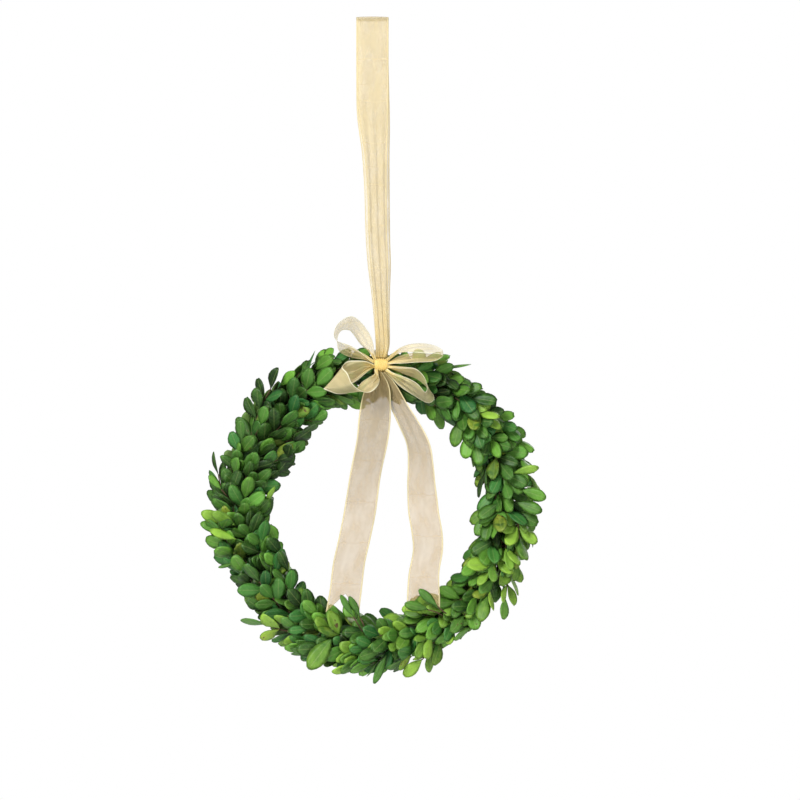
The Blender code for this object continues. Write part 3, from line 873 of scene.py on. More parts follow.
class Crowd:
    """What new leaves keep clear of: blades and solids, each with its box so that far ones are skipped."""

    def __init__(self, room: int = 4000) -> None:
        """Starts with nothing.

        Args:
            room: the most things that it will hold.
        """
        self.trees: list[BVHTree] = []
        self.boxes = np.full((room, 2, 3), np.inf)

    def add(self, points: Array, faces: Sequence[Sequence[int]]) -> None:
        """Takes in one more blade or solid."""
        self.boxes[len(self.trees)] = points.min(0), points.max(0)
        self.trees.append(BVHTree.FromPolygons(points.tolist(), faces))

    def leaves_room(self, points: Array, faces: Sequence[Sequence[int]]) -> bool:
        """Whether a blade crosses nothing that is here."""
        low, high = points.min(0), points.max(0)
        boxes = self.boxes[: len(self.trees)]
        near = np.flatnonzero((boxes[:, 0] < high).all(1) & (boxes[:, 1] > low).all(1))
        if not len(near):
            return True
        blade = BVHTree.FromPolygons(points.tolist(), faces)
        return not any(self.trees[i].overlap(blade) for i in near)


@dataclass
class Foliage:
    """The wreath's leaves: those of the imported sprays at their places, and the rest between them."""

    ribbons: list[BVHTree]
    crowd: Crowd = field(default_factory=Crowd)
    front_limit: float = -13.5 * MM  # Y
    back_limit: float = 36 * MM
    # X, and how high packed leaves reach behind the bow there, both in millimetres
    top_limit: tuple[tuple[float, float], ...] = ((-45, -247), (20, -247), (28, -254), (50, -255), (52, -200))

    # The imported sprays' own rule, with angles in degrees
    SPRAYS = 48
    GOLDEN, FIRST_SHARE = 0.6180340, 0.13
    BACK_SECTOR = 80
    BACK_DENSITY = 0.35
    BACK_POWER = 1.5
    REACH = ((0, 21), (90, 17), (180, 13), (270, 7), (360, 21))  # round the section, millimetres off it
    REACH_SPREAD = 2  # millimetres
    SWAY = 14
    TURN = 0.6
    PAIRS = (13 * MM, 26 * MM, 39 * MM)
    # Distance along the twig, and the side: -1 or 1 in a pair, 0 for one that faces out, None at the tip
    SLOTS = tuple((at, side) for at in PAIRS for side in (-1, 1)) + ((31 * MM, 0), (46.5 * MM, None))
    TRIES = 30
    STRAY_TRIES = 12  # tries after which a leaf strays twice as far
    PAIR_SPLAY, PAIR_CLOSING, PAIR_SPREAD, SINGLE_SPREAD = 50, 15, 12, 14
    PAIR_LIFT, SINGLE_LIFT, TIP_LIFT = 14, 31, 16
    PAIR_LIFT_SPREAD, LIFT_SPREAD = 10, 8
    FLAT_BACK = 0.75  # share of the lift that leaves at the wall don't have
    ROLL = 16
    LENGTHS = (17.5, 22.5)  # millimetres
    SHRINK = 0.006  # share of the length that each later try loses
    WIDTHS = (0.56, 0.68)
    BENDS = (-0.02, 0.14)
    ROOT_SHIFT = 0.25  # millimetres
    TIP_DROOP = 0.27 * MM
    MATCH = 0.05 * MM  # how near a drawn tip lies to a corner of the solid

    SHORTEST = 0.45  # share of its length that a leaf below the bow may lose
    STEEP = 0.3
    # Where the painted light on the leaves is brightest, low on the right; opposite it, on the upper left,
    # lies painted shade
    PAINTED_LIGHT_CLOCK = math.radians(115)
    TONE_AND_PAINTED_LIGHT = (0.5, 0.35, 0.5)  # in the middle, how far the painted light and shade moves it round the wreath, and how far the tone differs from twig to twig
    DEEP_BELOW, FRESH_ABOVE = 0.38, 0.85
    HABIT_DRAW, GREEN_DRAW, FILLER_DRAW = 77, 99, 1000  # what sets these draws apart from the others

    # Clock angle in degrees, and the least and the greatest distance from the centre in millimetres
    LIMITS = (
        (0, 77, 119),
        (18, 82, 118),
        (26, 86, 120),
        (40, 84, 122),
        (52, 84, 123),
        (66, 80, 126),
        (90, 78, 127),
        (110, 77, 124),
        (128, 76, 118),
        (152, 74, 119),
        (170, 73, 126),
        (205, 74, 128),
        (232, 74, 120),
        (248, 71, 119),
        (266, 74, 127),
        (282, 69, 118),
        (296, 65.5, 114),
        (312, 66.5, 117),
        (326, 72, 122),
        (345, 76, 120),
        (360, 77, 119),
    )
    # Twigs that stand further into the hole: clock angle and angle round the section in degrees, reach and
    # length in millimetres
    INNER_TWIGS = (
        (270, 168, 31, 40),
        (277, 150, 31, 42),
        (284, 176, 33, 38),
        (291, 158, 31, 40),
        (298, 172, 30, 40),
        (306, 160, 27, 38),
        (312, 178, 24, 36),
        (282, 192, 30, 40),
        (296, 192, 28, 38),
        (224, 162, 27, 36),
        (231, 178, 27, 36),
        (214, 168, 22, 34),
        (138, 170, 22, 34),
        (76, 166, 24, 34),
    )
    FILLERS = 340
    FEWEST = 2  # leaves that a filler twig has
    SECTORS = 8
    FRONT_SHARE = 0.94
    FRONT_SECTOR, WALL_SECTOR = (-55, 235), (235, 305)
    FILLER_TRIES = 7
    FILLER_REACH = (0.35, 1.15)
    FILLER_SWAY = 18
    FILLER_LENGTHS = (28 * MM, 46 * MM)
    FILLER_LEAF = (16 * MM, 22.5 * MM)
    FILLER_WIDTHS = (0.54, 0.66)
    FILLER_BENDS = (-0.04, 0.2)
    FILLER_SPLAY, FILLER_TIP_SPLAY = (20, 62), 24
    FILLER_LIFT, FILLER_ROLL = (-6, 26), 28
    FILLER_RADIUS = 0.6 * MM
    FILLER_PINCH = 0.1
    FIRST_NODE = 9 * MM
    NODE_STEP = 8 * MM

    def spray_twig(self, index: int) -> Twig:
        """The twig of a packed spray. Golden-ratio steps spread the twigs round the ring's section, with
        fewer of them at the wall."""
        share = (index * self.GOLDEN + self.FIRST_SHARE) % 1
        open_sector = 360 - self.BACK_SECTOR
        degrees = share * (open_sector + self.BACK_SECTOR * self.BACK_DENSITY)
        if degrees > open_sector:
            degrees = open_sector + (degrees - open_sector) / self.BACK_DENSITY
        around = math.radians(degrees - 90 + self.BACK_SECTOR / 2)
        draw = np.random.default_rng([SEED, index])
        back = self.back_at(around)
        spread = draw.uniform(-self.REACH_SPREAD, self.REACH_SPREAD) * MM
        reach = self.reach_at(around) + spread * (1 - back)
        sway = math.radians(draw.uniform(-self.SWAY, self.SWAY))
        return Twig(math.tau * index / self.SPRAYS, around, reach, sway, self.facing_at(around), back)

    def back_at(self, around: float) -> float:
        """From 0 on the front half of the section to 1 where it meets the wall."""
        return max(0.0, -math.sin(around)) ** self.BACK_POWER

    def reach_at(self, around: float) -> float:
        """How far foliage stands off the ring at an angle round its section."""
        degrees, reaches = zip(*self.REACH)
        return float(np.interp(math.degrees(around) % 360, degrees, reaches)) * MM

    def facing_at(self, around: float) -> float:
        """Leaves on the wreath's edges turn part of the way to the front."""
        front = math.pi / 2
        if math.degrees(around) > 270 - self.BACK_SECTOR / 2:
            return around
        return front + (around - front) * self.TURN

    def packed_leaf(self, twig: Twig, index: int, slot: int, attempt: int) -> LeafShape:
        """One draw of a packed spray's leaf, by the same rule and in the same order of draws as the
        packed one."""
        at, side = self.SLOTS[slot]
        draw = np.random.default_rng([SEED, index, slot, attempt])
        stray = 1 + attempt / self.STRAY_TRIES
        here, ahead, out = twig.axes(at)
        sideways = np.cross(ahead, out)
        if side:
            middle, spread, lift_spread = self.PAIR_LIFT, self.PAIR_SPREAD, self.PAIR_LIFT_SPREAD
            splay = self.PAIR_SPLAY - self.PAIR_CLOSING * at / twig.length
            splay = (splay + draw.uniform(-spread, spread) * stray) * side
        else:
            middle, spread, lift_spread = self.SINGLE_LIFT, self.SINGLE_SPREAD, self.LIFT_SPREAD
            middle = self.TIP_LIFT if side is None else middle
            splay = draw.uniform(-spread, spread) * stray
        lift = middle + draw.uniform(-lift_spread, lift_spread) * stray
        lift *= 1 - self.FLAT_BACK * twig.back
        roll = draw.uniform(-self.ROLL, self.ROLL) * stray
        along, up = leaf_axes(ahead, sideways, out, splay, lift, roll)
        length = draw.uniform(*self.LENGTHS) * MM * (1 - self.SHRINK * attempt)
        width = length * draw.uniform(*self.WIDTHS)
        root = here + sideways * (side or 0) * self.ROOT_SHIFT * MM
        return LeafShape(root, along, up, length, width, draw.uniform(*self.BENDS))

    def packed_leaves(self, twig: Twig, index: int) -> list[LeafShape]:
        """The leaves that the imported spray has: the draws whose tip is a corner of its solid.

        Args:
            twig: the spray's twig.
            index: the spray's number, from 0.

        Returns:
            The leaves, each with its own small twists and tone.
        """
        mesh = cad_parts[f"spray_{index + 1:02d}"].data
        corners = np.empty(3 * len(mesh.vertices), np.float32)
        mesh.vertices.foreach_get("co", corners)
        corners = corners.reshape(-1, 3)
        found = []
        for slot in range(len(self.SLOTS)):
            for attempt in range(self.TRIES):
                leaf = self.packed_leaf(twig, index, slot, attempt)
                tip = leaf.placed(np.array((leaf.length, 0, -self.TIP_DROOP - leaf.bend * leaf.length)))
                if np.abs(corners - tip).max(1).min() < self.MATCH:
                    over = tip[2] - self.highest(tip[0])
                    steep = max(leaf.along[2], self.STEEP)
                    leaf.length -= np.clip(over / steep, 0, self.SHORTEST * leaf.length)
                    habit = np.random.default_rng([SEED, index, slot, self.HABIT_DRAW])
                    found.append(with_painted_shade(own_habit(leaf, habit)))
                    break
        return found

    def highest(self, x: float) -> float:
        """How high packed leaves reach at an X: behind the bow not over its loops, elsewhere as packed."""
        places, limits = np.array(self.top_limit).T * MM
        return float(np.interp(x, places, limits)) if x > places[0] else 0.0

    def green(self, clock: float, draw: np.random.Generator) -> Green:
        """A twig's green, from a tone that differs from twig to twig plus painted light and shade round the
        wreath: darker on the upper left and lighter low on the right, by a cosine.
        """
        middle, swing, spread = self.TONE_AND_PAINTED_LIGHT
        # a tone that differs from twig to twig, plus painted light and shade by a cosine round the wreath
        light = middle + swing * math.cos(clock - self.PAINTED_LIGHT_CLOCK) + draw.uniform(-spread, spread)
        if light < self.DEEP_BELOW:
            return Green.DEEP
        return Green.FRESH if light > self.FRESH_ABOVE else Green.MID

    def build_sprays(self) -> list[bpy.types.Object]:
        """The 48 sprays of the frame, each with a round twig and fine leaves.

        Returns:
            The pieces.
        """
        made = []
        for index in range(self.SPRAYS):
            twig = self.spray_twig(index)
            leaves = self.packed_leaves(twig, index)
            stem = twig.stem()
            self.crowd.add(stem.points, stem.quads.tolist())
            for leaf in leaves:
                self.crowd.add(*LEAF.sketch(leaf))
            green = self.green(twig.clock, np.random.default_rng([SEED, index, self.GREEN_DRAW])).value
            name = f"spray_{index + 1:02d}"
            surface = join([LEAF.surface(leaf) for leaf in leaves] + [stem])
            piece = new_piece(name + "_leaves", surface, (green, BARK))
            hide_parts(name)
            made.append(piece)
        return made

    def filler_twig(self, draw: np.random.Generator) -> Twig:
        """A shorter twig at a place of its own, most of them on the front."""
        sector = self.FRONT_SECTOR if draw.random() < self.FRONT_SHARE else self.WALL_SECTOR
        around = math.radians(draw.uniform(*sector))
        above = self.reach_at(around) - Twig.LYING
        reach = Twig.LYING + above * draw.uniform(*self.FILLER_REACH)
        sway = math.radians(draw.uniform(-self.FILLER_SWAY, self.FILLER_SWAY))
        length = draw.uniform(*self.FILLER_LENGTHS)
        clock = draw.uniform(0, math.tau)
        return self.thin_twig(clock, around, reach, sway, length)

    def thin_twig(self, clock: float, around: float, reach: float, sway: float, length: float) -> Twig:
        """A filler twig, with what follows from its angle round the section."""
        facing, back = self.facing_at(around % math.tau), self.back_at(around)
        return Twig(clock, around, reach, sway, facing, back, length, self.FILLER_RADIUS, self.FILLER_PINCH)

    def inner_twigs(self) -> list[Twig]:
        """The twigs that stand further into the hole, as the photograph shows on the left."""
        return [
            self.thin_twig(math.radians(clock), math.radians(around), reach * MM, 0.0, length * MM)
            for clock, around, reach, length in self.INNER_TWIGS
        ]

    def filler_leaf(self, twig: Twig, at: float, side: int, draw: np.random.Generator) -> LeafShape:
        """One try at a leaf on a filler twig, on the side given or, for 0, at its tip or facing out."""
        here, ahead, out = twig.axes(at)
        sideways = np.cross(ahead, out)
        ends = self.FILLER_SPLAY if side else (-self.FILLER_TIP_SPLAY, self.FILLER_TIP_SPLAY)
        splay = (side or 1) * draw.uniform(*ends)
        lift = draw.uniform(*self.FILLER_LIFT) * (1 - self.FLAT_BACK * twig.back)
        roll = draw.uniform(-self.FILLER_ROLL, self.FILLER_ROLL)
        along, up = leaf_axes(ahead, sideways, out, splay, lift, roll)
        length = draw.uniform(*self.FILLER_LEAF)
        width = length * draw.uniform(*self.FILLER_WIDTHS)
        leaf = LeafShape(here, along, up, length, width, draw.uniform(*self.FILLER_BENDS))
        return with_painted_shade(own_habit(leaf, draw))

    def fits(self, points: Array) -> bool:
        """Whether a blade stays in the wreath's own space and leaves every ribbon in view."""
        right, up = points[:, 0] - RING.centre[0], points[:, 2] - RING.centre[2]
        from_centre, clock = np.hypot(right, up) / MM, np.degrees(np.arctan2(right, up)) % 360
        degrees, least, greatest = np.array(self.LIMITS).T
        if (from_centre < np.interp(clock, degrees, least)).any():
            return False
        if (from_centre > np.interp(clock, degrees, greatest)).any():
            return False
        if points[:, 1].min() < self.front_limit or points[:, 1].max() > self.back_limit:
            return False
        points, straight_back = points.tolist(), (0, 1, 0)
        return not any(tree.ray_cast(point, straight_back)[0] for tree in self.ribbons for point in points)

    def grow_filler(self, twig: Twig, draw: np.random.Generator) -> list[tuple[float, LeafShape]]:
        """The leaves of a filler twig that find room.

        Args:
            twig: the twig.
            draw: its random numbers.

        Returns:
            For each leaf, which the crowd has taken in, its distance along the twig and its shape.
        """
        nodes = np.arange(self.FIRST_NODE, twig.length, self.NODE_STEP)
        slots = [(at, side) for at in nodes for side in (-1, 1)]
        slots += [(at, 0) for at in nodes[1::2]] + [(twig.length, 0)]
        grown = []
        for at, side in slots:
            for _ in range(self.FILLER_TRIES):
                leaf = self.filler_leaf(twig, at, side, draw)
                points, quads = LEAF.sketch(leaf)
                if self.fits(points) and self.crowd.leaves_room(points, quads):
                    self.crowd.add(points, quads)
                    grown.append((at, leaf))
                    break
        return grown

    def build_fillers(self) -> list[bpy.types.Object]:
        """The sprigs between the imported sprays, in pieces by sector and green.

        Returns:
            The pieces.
        """
        parts: dict[tuple[Green, int], list[Surface]] = {}
        count = 0
        inner = self.inner_twigs()
        for number in range(-len(inner), self.FILLERS):
            draw = np.random.default_rng([SEED, self.FILLER_DRAW + number])
            twig = inner[number] if number < 0 else self.filler_twig(draw)
            grown = self.grow_filler(twig, draw)
            if len(grown) < self.FEWEST:
                continue
            count += len(grown)
            key = self.green(twig.clock, draw), int(twig.clock / math.tau * self.SECTORS)
            stem = twig.stem(max(at for at, _ in grown))
            parts.setdefault(key, []).extend([LEAF.surface(leaf) for _, leaf in grown] + [stem])
        LOG.info("leaves between the sprays: %d", count)
        made = []
        for green, sector in sorted(parts, key=lambda key: (key[1], key[0].name)):
            name = f"filler_{green.name.lower()}_{sector + 1:02d}"
            surface = join(parts[green, sector])
            made.append(new_piece(name, surface, (green.value, BARK)))
        return made


@dataclass(frozen=True)
class StrayLeaf:
    """A leaf that stands out of the wreath at a place of its own, in millimetres."""

    foot: tuple[float, float, float]
    tip: tuple[float, float, float]
    width: float
    green: Green
    tone: float
    roll: float = 0.0  # degrees about its rib
    twig: tuple[float, float, float] | None = None  # where a bare piece of twig behind its foot starts

    BEND, CUP, FOLD, POINT, CHANCE = 0.06, 0.8, 0.12, 0.1, 0.5
    TWIG_RADIUS = 0.5 * MM
    TWIG_ROWS = 9

    def shape(self) -> LeafShape:
        """The leaf, with its upper face to the front."""
        foot, tip = np.array(self.foot) * MM, np.array(self.tip) * MM
        along = unit(tip - foot)
        up = unit(FRONT - along * (FRONT @ along))
        roll = math.radians(self.roll)
        up = up * math.cos(roll) + np.cross(along, up) * math.sin(roll)
        length = float(np.linalg.norm(tip - foot))
        leaf = LeafShape(foot, along, up, length, self.width * MM, self.BEND, self.CUP)
        leaf.fold, leaf.point, leaf.tone, leaf.chance = self.FOLD, self.POINT, self.tone, self.CHANCE
        return leaf

    def surfaces(self) -> list[Surface]:
        """The blade, and its twig where that shows: a parabola that leaves the foot along the blade."""
        leaf = self.shape()
        made = [LEAF.surface(leaf)]
        if self.twig:
            start = np.array(self.twig) * MM
            bend = leaf.root - leaf.along * np.linalg.norm(start - leaf.root) / 2
            share = np.linspace(0, 1, self.TWIG_ROWS)[:, None]
            path = leaf.root * (1 - share) ** 2 + bend * 2 * share * (1 - share) + start * share**2
            stem = tube(path, np.full(len(path), self.TWIG_RADIUS), Twig.SIDES)
            stem.marks[:, 2] = WOOD
            made.append(stem)
        return made


STRAYS = (
    StrayLeaf((-107.5, 6, -378), (-127.5, 0, -369), 10, Green.FRESH, 0.62),
    StrayLeaf((-108, 9, -384), (-128.5, 5, -377), 9, Green.MID, 0.5, 20),
    StrayLeaf((-102, 2, -379), (-119.5, -5, -369), 9.5, Green.FRESH, 0.45, -15),
    StrayLeaf((-101, 1, -389), (-120.5, -4, -381.5), 8.5, Green.FRESH, 0.75, 35),
    StrayLeaf((-112.5, 0, -352), (-121.5, -2, -341), 6.5, Green.MID, 0.7, 25, (-106, 8, -361)),
    StrayLeaf((-103, 4, -407), (-115, 1, -409.8), 3.4, Green.MID, 0.4, 30),
    StrayLeaf((-82, 9, -365), (-72.5, 4, -350.5), 4.6, Green.FRESH, 0.6, 30, (-87, 14, -372)),
    StrayLeaf((11, 3, -474), (1.6, -3, -496.5), 7, Green.DEEP, 0.7, -20),
    StrayLeaf((-29.5, 3, -462), (-47.5, -6, -485), 14.5, Green.FRESH, 0.3, 5),
    StrayLeaf((110.5, 3, -352), (129, -3, -358.5), 10.5, Green.MID, 0.6, 10),
    StrayLeaf((106.5, 0, -361), (126, -6, -368), 10, Green.MID, 0.35, -10),
    StrayLeaf((104.5, 2, -340), (124, -2, -336), 8, Green.FRESH, 0.7, 30),
    StrayLeaf((-14, -9, -446), (-23, -12.5, -429.5), 6, Green.DEEP, 0.85, 30, (-6, 6, -460)),
    StrayLeaf((-9, -8.5, -447), (-17.5, -12.5, -431), 6.5, Green.MID, 0.3, -25, (-5, 6, -461)),
    StrayLeaf((48.5, -8.5, -438.5), (34.7, -12.5, -425.5), 7, Green.DEEP, 0.75, 12, (59, 7, -447)),
    StrayLeaf((41.5, -7, -441), (24, -12.5, -436.5), 8.5, Green.MID, 0.4, -18, (55, 7, -449)),
    StrayLeaf((-3, 2, -268), (-9, -1.5, -287), 9, Green.DEEP, 0.5, 12),
    StrayLeaf((2, 1.5, -270), (0.5, -2, -287.5), 8.5, Green.MID, 0.2, -14),
    StrayLeaf((12.5, 4, -268), (13.5, -1, -286), 8, Green.DEEP, 0.7, 10),
    StrayLeaf((30, 13, -264), (44.5, 8, -256.5), 8.5, Green.MID, 0.7, 12),
    StrayLeaf((29, 10, -269), (45, 7, -263), 9, Green.DEEP, 0.6, -12),
    StrayLeaf((44, 9, -266), (60.5, 6, -259.5), 9, Green.DEEP, 0.9, 8),
)


def build_strays() -> list[bpy.types.Object]:
    """The leaves that stand out of the wreath, in one piece for each green.

    Returns:
        The pieces.
    """
    made = []
    for green in Green:
        surfaces = [surface for stray in STRAYS if stray.green is green for surface in stray.surfaces()]
        finish = green.value
        made.append(new_piece(f"stray_{green.name.lower()}", join(surfaces), (finish, BARK)))
    return made


def with_painted_shade(leaf: LeafShape) -> LeafShape:
    """The leaf with painted shade: a darker tone the nearer it lies to the ring, deep in the foliage where
    shade falls.

    Args:
        leaf: its place and tone.

    Returns:
        The same leaf.
    """
    # painted shade: the tone darkens towards the ring, and darkens more at the very inside
    inside, outside, darkest = 8 * MM, 18 * MM, 0.1
    deepest_shade, darker = 10 * MM, 0.2
    middle = leaf.root + leaf.along * leaf.length / 2 - RING.centre
    off = math.hypot(math.hypot(middle[0], middle[2]) - RING.radius, middle[1])
    share = float(np.interp(off, (inside, outside), (darkest, 1.0)))
    leaf.tone = leaf.tone * share - darker * (off < deepest_shade)
    return leaf


def own_habit(leaf: LeafShape, draw: np.random.Generator) -> LeafShape:
    """The leaf with small twists and a tone of its own.

    Args:
        leaf: its pose and sizes.
        draw: its random numbers.

    Returns:
        The same leaf.
    """
    leaf.cup = draw.uniform(-0.3, 1.5)
    leaf.twist = math.radians(draw.normal(0, 12))
    leaf.wave = draw.uniform(-0.35, 0.35) * MM
    leaf.notch = draw.choice([0.0, 0.02, 0.04], p=[0.6, 0.25, 0.15])
    leaf.fold = draw.uniform(-0.08, 0.42)
    leaf.point = draw.uniform(0.0, 0.28)
    leaf.width *= draw.uniform(0.80, 0.92)
    leaf.tone = draw.uniform(0, 1)
    leaf.chance = draw.uniform(0, 1)
    return leaf


def leaf_axes(
    ahead: Array, sideways: Array, out: Array, splay: float, lift: float, roll: float
) -> tuple[Array, Array]:
    """A leaf's direction and upper side, from angles in degrees.

    Args:
        ahead: along the twig.
        sideways: across it.
        out: the way that its leaves face.
        splay: how far the leaf turns off the twig to one side.
        lift: how far it turns outwards.
        roll: how far it turns about its own rib.

    Returns:
        The direction and the upper side.
    """
    splay, lift, roll = (math.radians(angle) for angle in (splay, lift, roll))
    along = (ahead * math.cos(splay) + sideways * math.sin(splay)) * math.cos(lift) + out * math.sin(lift)
    flat_up = unit(out - along * (out @ along))
    return along, unit(flat_up * math.cos(roll) + np.cross(along, flat_up) * math.sin(roll))


# What the sprays are tied to, and with


@dataclass(frozen=True)
class RingCore:
    """The ring inside the foliage: three thin vines twisted together, and the wire that binds the sprays."""

    strands: int = 3
    strand_radius: float = 1.75 * MM
    strand_off: float = 1.8 * MM
    strand_swell: float = 0.06
    swells: tuple[int, int] = (23, 7)  # waves round the ring
    twists: int = 9
    strand_rows: int = 260
    strand_sides: int = 10
    wire_radius: float = 0.5 * MM
    wire_off: float = 6.4 * MM
    wire_hold: float = 5 * MM  # where it crosses a twig, from the twig's cut end
    wire_rows: int = 700
    wire_sides: int = 6

    def build_ring(self) -> bpy.types.Object:
        """The vines: each a circle whose angle round the section grows with the clock angle, and whose
        radius swells by the product of two sine waves.

        Returns:
            The piece, which stands for the frame's twig ring.
        """
        clock = math.tau * np.arange(self.strand_rows) / self.strand_rows
        fine, coarse = self.swells
        vines = []
        for number in range(self.strands):
            around = self.twists * clock + math.tau * number / self.strands
            path = RING.point(clock, around, np.asarray(self.strand_off))
            swell = self.strand_swell * np.sin(fine * clock + number) * np.sin(coarse * clock)
            radii = self.strand_radius * (1 + swell)
            vines.append(tube(path, radii, self.strand_sides, closed=True))
        piece = new_piece("vine_ring", join(vines), (BARK,))
        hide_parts("twig_ring")
        return piece

    def build_wire(self, twigs: Sequence[Twig]) -> bpy.types.Object:
        """One wire that winds back round the ring from twig to twig, at an even rate between two.

        Args:
            twigs: those that it ties, in clock order.

        Returns:
            The piece, which stands for the frame's wire.
        """
        arounds = np.array([twig.around for twig in twigs])
        steps = -((arounds[:-1] - arounds[1:]) % math.tau)
        turns = arounds[0] + np.concatenate(([0.0], np.cumsum(steps)))
        clocks = np.array([twig.clock_at(self.wire_hold) for twig in twigs])
        at = np.linspace(0, len(twigs) - 1, self.wire_rows)
        clock, around = (np.interp(at, np.arange(len(twigs)), values) for values in (clocks, turns))
        path = RING.point(clock, around, np.asarray(self.wire_off))
        surface = tube(path, np.full(len(path), self.wire_radius), self.wire_sides)
        piece = new_piece("paddle_wire", surface, (WIRE,))
        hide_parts("binding_wire")
        return piece


# Ribbon


@dataclass(frozen=True)
class Ribbon:
    """A length of ribbon that follows stations along its middle.

    Where it is held narrower than its flat width, the rest of the width goes into lengthwise folds,
    which lean over so that layers lie on each other.
    """

    name: str
    node: str
    stations: tuple[tuple[float, ...], ...]
    held: str = "folded"
    rests_on: tuple[str, ...] = ("bow_knot",)
    finish: Organza = RIBBON
    folds: float = 3.0
    phase: float = 0.0
    notch: float = 0.0
    flat_width: float = 24 * MM
    fullness: float = 0.8
    lean: float = 1.7  # folds lie over each other above 1
    ripple: float = 0.5 * MM
    ripple_length: float = 41 * MM

    STEP = 1.5 * MM
    COLUMNS = 41
    WALL = 0.16 * MM
    FINE = 400
    FEWEST_ROWS = 12
    NUDGE = 1e-3
    NOTCH_FROM = 0.80
    DRIFT, DRIFTS = 1.3, 4  # how far the folds wander in angle, and how often along the ribbon
    SETTLED = 0.8  # spare width from which folds lie over fully

    def lay(self, rows: Array) -> tuple[Array, Array]:
        """The middle, and the vector from there to one edge, from a station's numbers."""
        raise NotImplementedError

    def spread(self) -> tuple[Array, float]:
        """Where its rows stand on the curve, at even steps along the middle, and how long it is."""
        fine = np.linspace(0, 1, self.FINE)
        length = along_path(self.lay(smooth_rows(self.stations, fine))[0])
        rows = max(self.FEWEST_ROWS, round(length[-1] / self.STEP))
        return np.interp(np.linspace(0, length[-1], rows), length, fine), float(length[-1])

    def surface(self) -> Surface:
        """The cloth. Across it, a point is at its share of the width plus a sine wave off the surface.
        The wave's height is what gives its arc the flat width, its crests are pushed sideways, and it
        wanders a little along the ribbon. The edges ripple by the cube of the distance from the middle,
        and the last rows are drawn back towards the middle for the notch.

        Returns:
            A sheet without a wall, whose UV map is its flat cut in metres.
        """
        at, length = self.spread()
        v = np.linspace(-1, 1, self.COLUMNS)[None, :]
        share = np.linspace(0, 1, len(at))[:, None]
        cut = self.notch / length * (1 - np.abs(v)) * np.maximum(0, share - self.NOTCH_FROM)
        place = share - cut / (1 - self.NOTCH_FROM)
        at = np.interp(place, share[:, 0], at)
        middle, half = self.lay(smooth_rows(self.stations, at))
        ahead = self.lay(smooth_rows(self.stations, at + self.NUDGE))[0]
        behind = self.lay(smooth_rows(self.stations, at - self.NUDGE))[0]
        width = 2 * np.linalg.norm(half, axis=-1, keepdims=True)
        across = half / width * 2
        normal = unit(np.cross(unit(ahead - behind), across))

        spare = np.maximum(0, (self.flat_width / width) ** 2 - 1)
        settle = np.minimum(1, spare / self.SETTLED)
        wave = width / self.folds / math.tau
        height = self.fullness * wave * np.sqrt(2 * spare / (1 + self.lean * settle))
        aside, down = v[..., None], place[..., None]
        drift = self.DRIFT * np.sin(self.DRIFTS * down)
        fold = np.sin(math.tau * self.folds * (aside + 1) / 2 + self.phase + drift)
        ripple = np.sin(math.tau * (down * length) / self.ripple_length + self.phase)
        offset = height * fold + self.ripple * np.abs(aside) ** 3 * ripple
        pushed = self.lean * settle * wave * fold * (1 - aside**6)
        points = middle + across * (aside * width / 2 - pushed) + normal * offset
        gathered = np.clip(1 - width[..., 0] / self.flat_width, 0, 1) + 0 * v
        quads = grid_quads(len(place), self.COLUMNS)
        flat = np.stack((v * self.flat_width / 2 + 0 * place, place * length), -1).reshape(-1, 2)
        marks = np.zeros((len(quads), 3))
        marks[:, 0] = gathered.ravel()[quads].mean(1)
        return Surface(points.reshape(-1, 3), quads, flat[quads], marks)

    def build(self) -> bpy.types.Object:
        """The ribbon with its wall, which stands for its node.

        Returns:
            The piece.
        """
        length = self.spread()[1]
        piece = new_piece(self.name, self.surface(), (self.finish,), "cloth")
        give_wall(piece, self.WALL)
        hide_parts(self.node)
        return piece


def knot_middle() -> Array:
    """The knot's middle, which the frame gives."""
    low, high = (np.array(corner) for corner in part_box("bow_knot"))
    return (low + high) / 2


KNOT = knot_middle()


@dataclass(frozen=True)
class BowLoop(Ribbon):
    """A loop of the bow. Its stations are, in millimetres from the knot, how far sideways, forwards and
    up, how wide, and how the width leans sideways and up for each step forwards."""

    folds: float = 2.5
    finish: Organza = LIT_BOW_RIBBON

    def lay(self, rows: Array) -> tuple[Array, Array]:
        """The width points at the viewer, and leans."""
        x, forwards, z, width, lean_x, lean_z = np.moveaxis(rows, -1, 0)
        across = unit(np.stack((lean_x, -np.ones_like(x), lean_z), -1))
        middle = np.stack((x, -forwards, z), -1) * MM + KNOT
        return middle, across * np.maximum(width, 1)[..., None] / 2 * MM


@dataclass(frozen=True)
class Tail(Ribbon):
    """A hanging tail. Its stations are, in millimetres from the knot, how far sideways, forwards and up,
    how wide, and by how many degrees its right edge is turned back."""

    finish: Organza = SHADED_TAIL_RIBBON
    lean: float = 0.6
    fullness: float = 0.6
    held: str = "hung"
    notch: float = 14 * MM
    ripple: float = 0.7 * MM

    def lay(self, rows: Array) -> tuple[Array, Array]:
        """The width points to the right, and turns back."""
        x, forwards, z, width, turn = np.moveaxis(rows, -1, 0)
        turn = np.radians(turn)
        half = np.stack((np.cos(turn), np.sin(turn), 0 * turn), -1) * width[..., None] / 2 * MM
        return np.stack((x, -forwards, z), -1) * MM + KNOT, half


@dataclass(frozen=True)
class Hanger(Ribbon):
    """The hanger's two legs and its crown. Its stations are x, y, z and half the width, in millimetres."""

    held: str = "hung"
    folds: float = 3.2
    lean: float = 0.5
    fullness: float = 0.5

    def lay(self, rows: Array) -> tuple[Array, Array]:
        """The width lies along X."""
        half = np.zeros(rows.shape[:-1] + (3,))
        half[..., 0] = rows[..., 3] * MM
        return rows[..., :3] * MM, half


@dataclass(frozen=True)
class Strap(Hanger):
    """The band from the knot round the back of the wreath, with its ends in the knot."""

    held: str = "gathered"
    folds: float = 3.0
    lean: float = 1.7
    fullness: float = 1.1
    ripple: float = 0.0


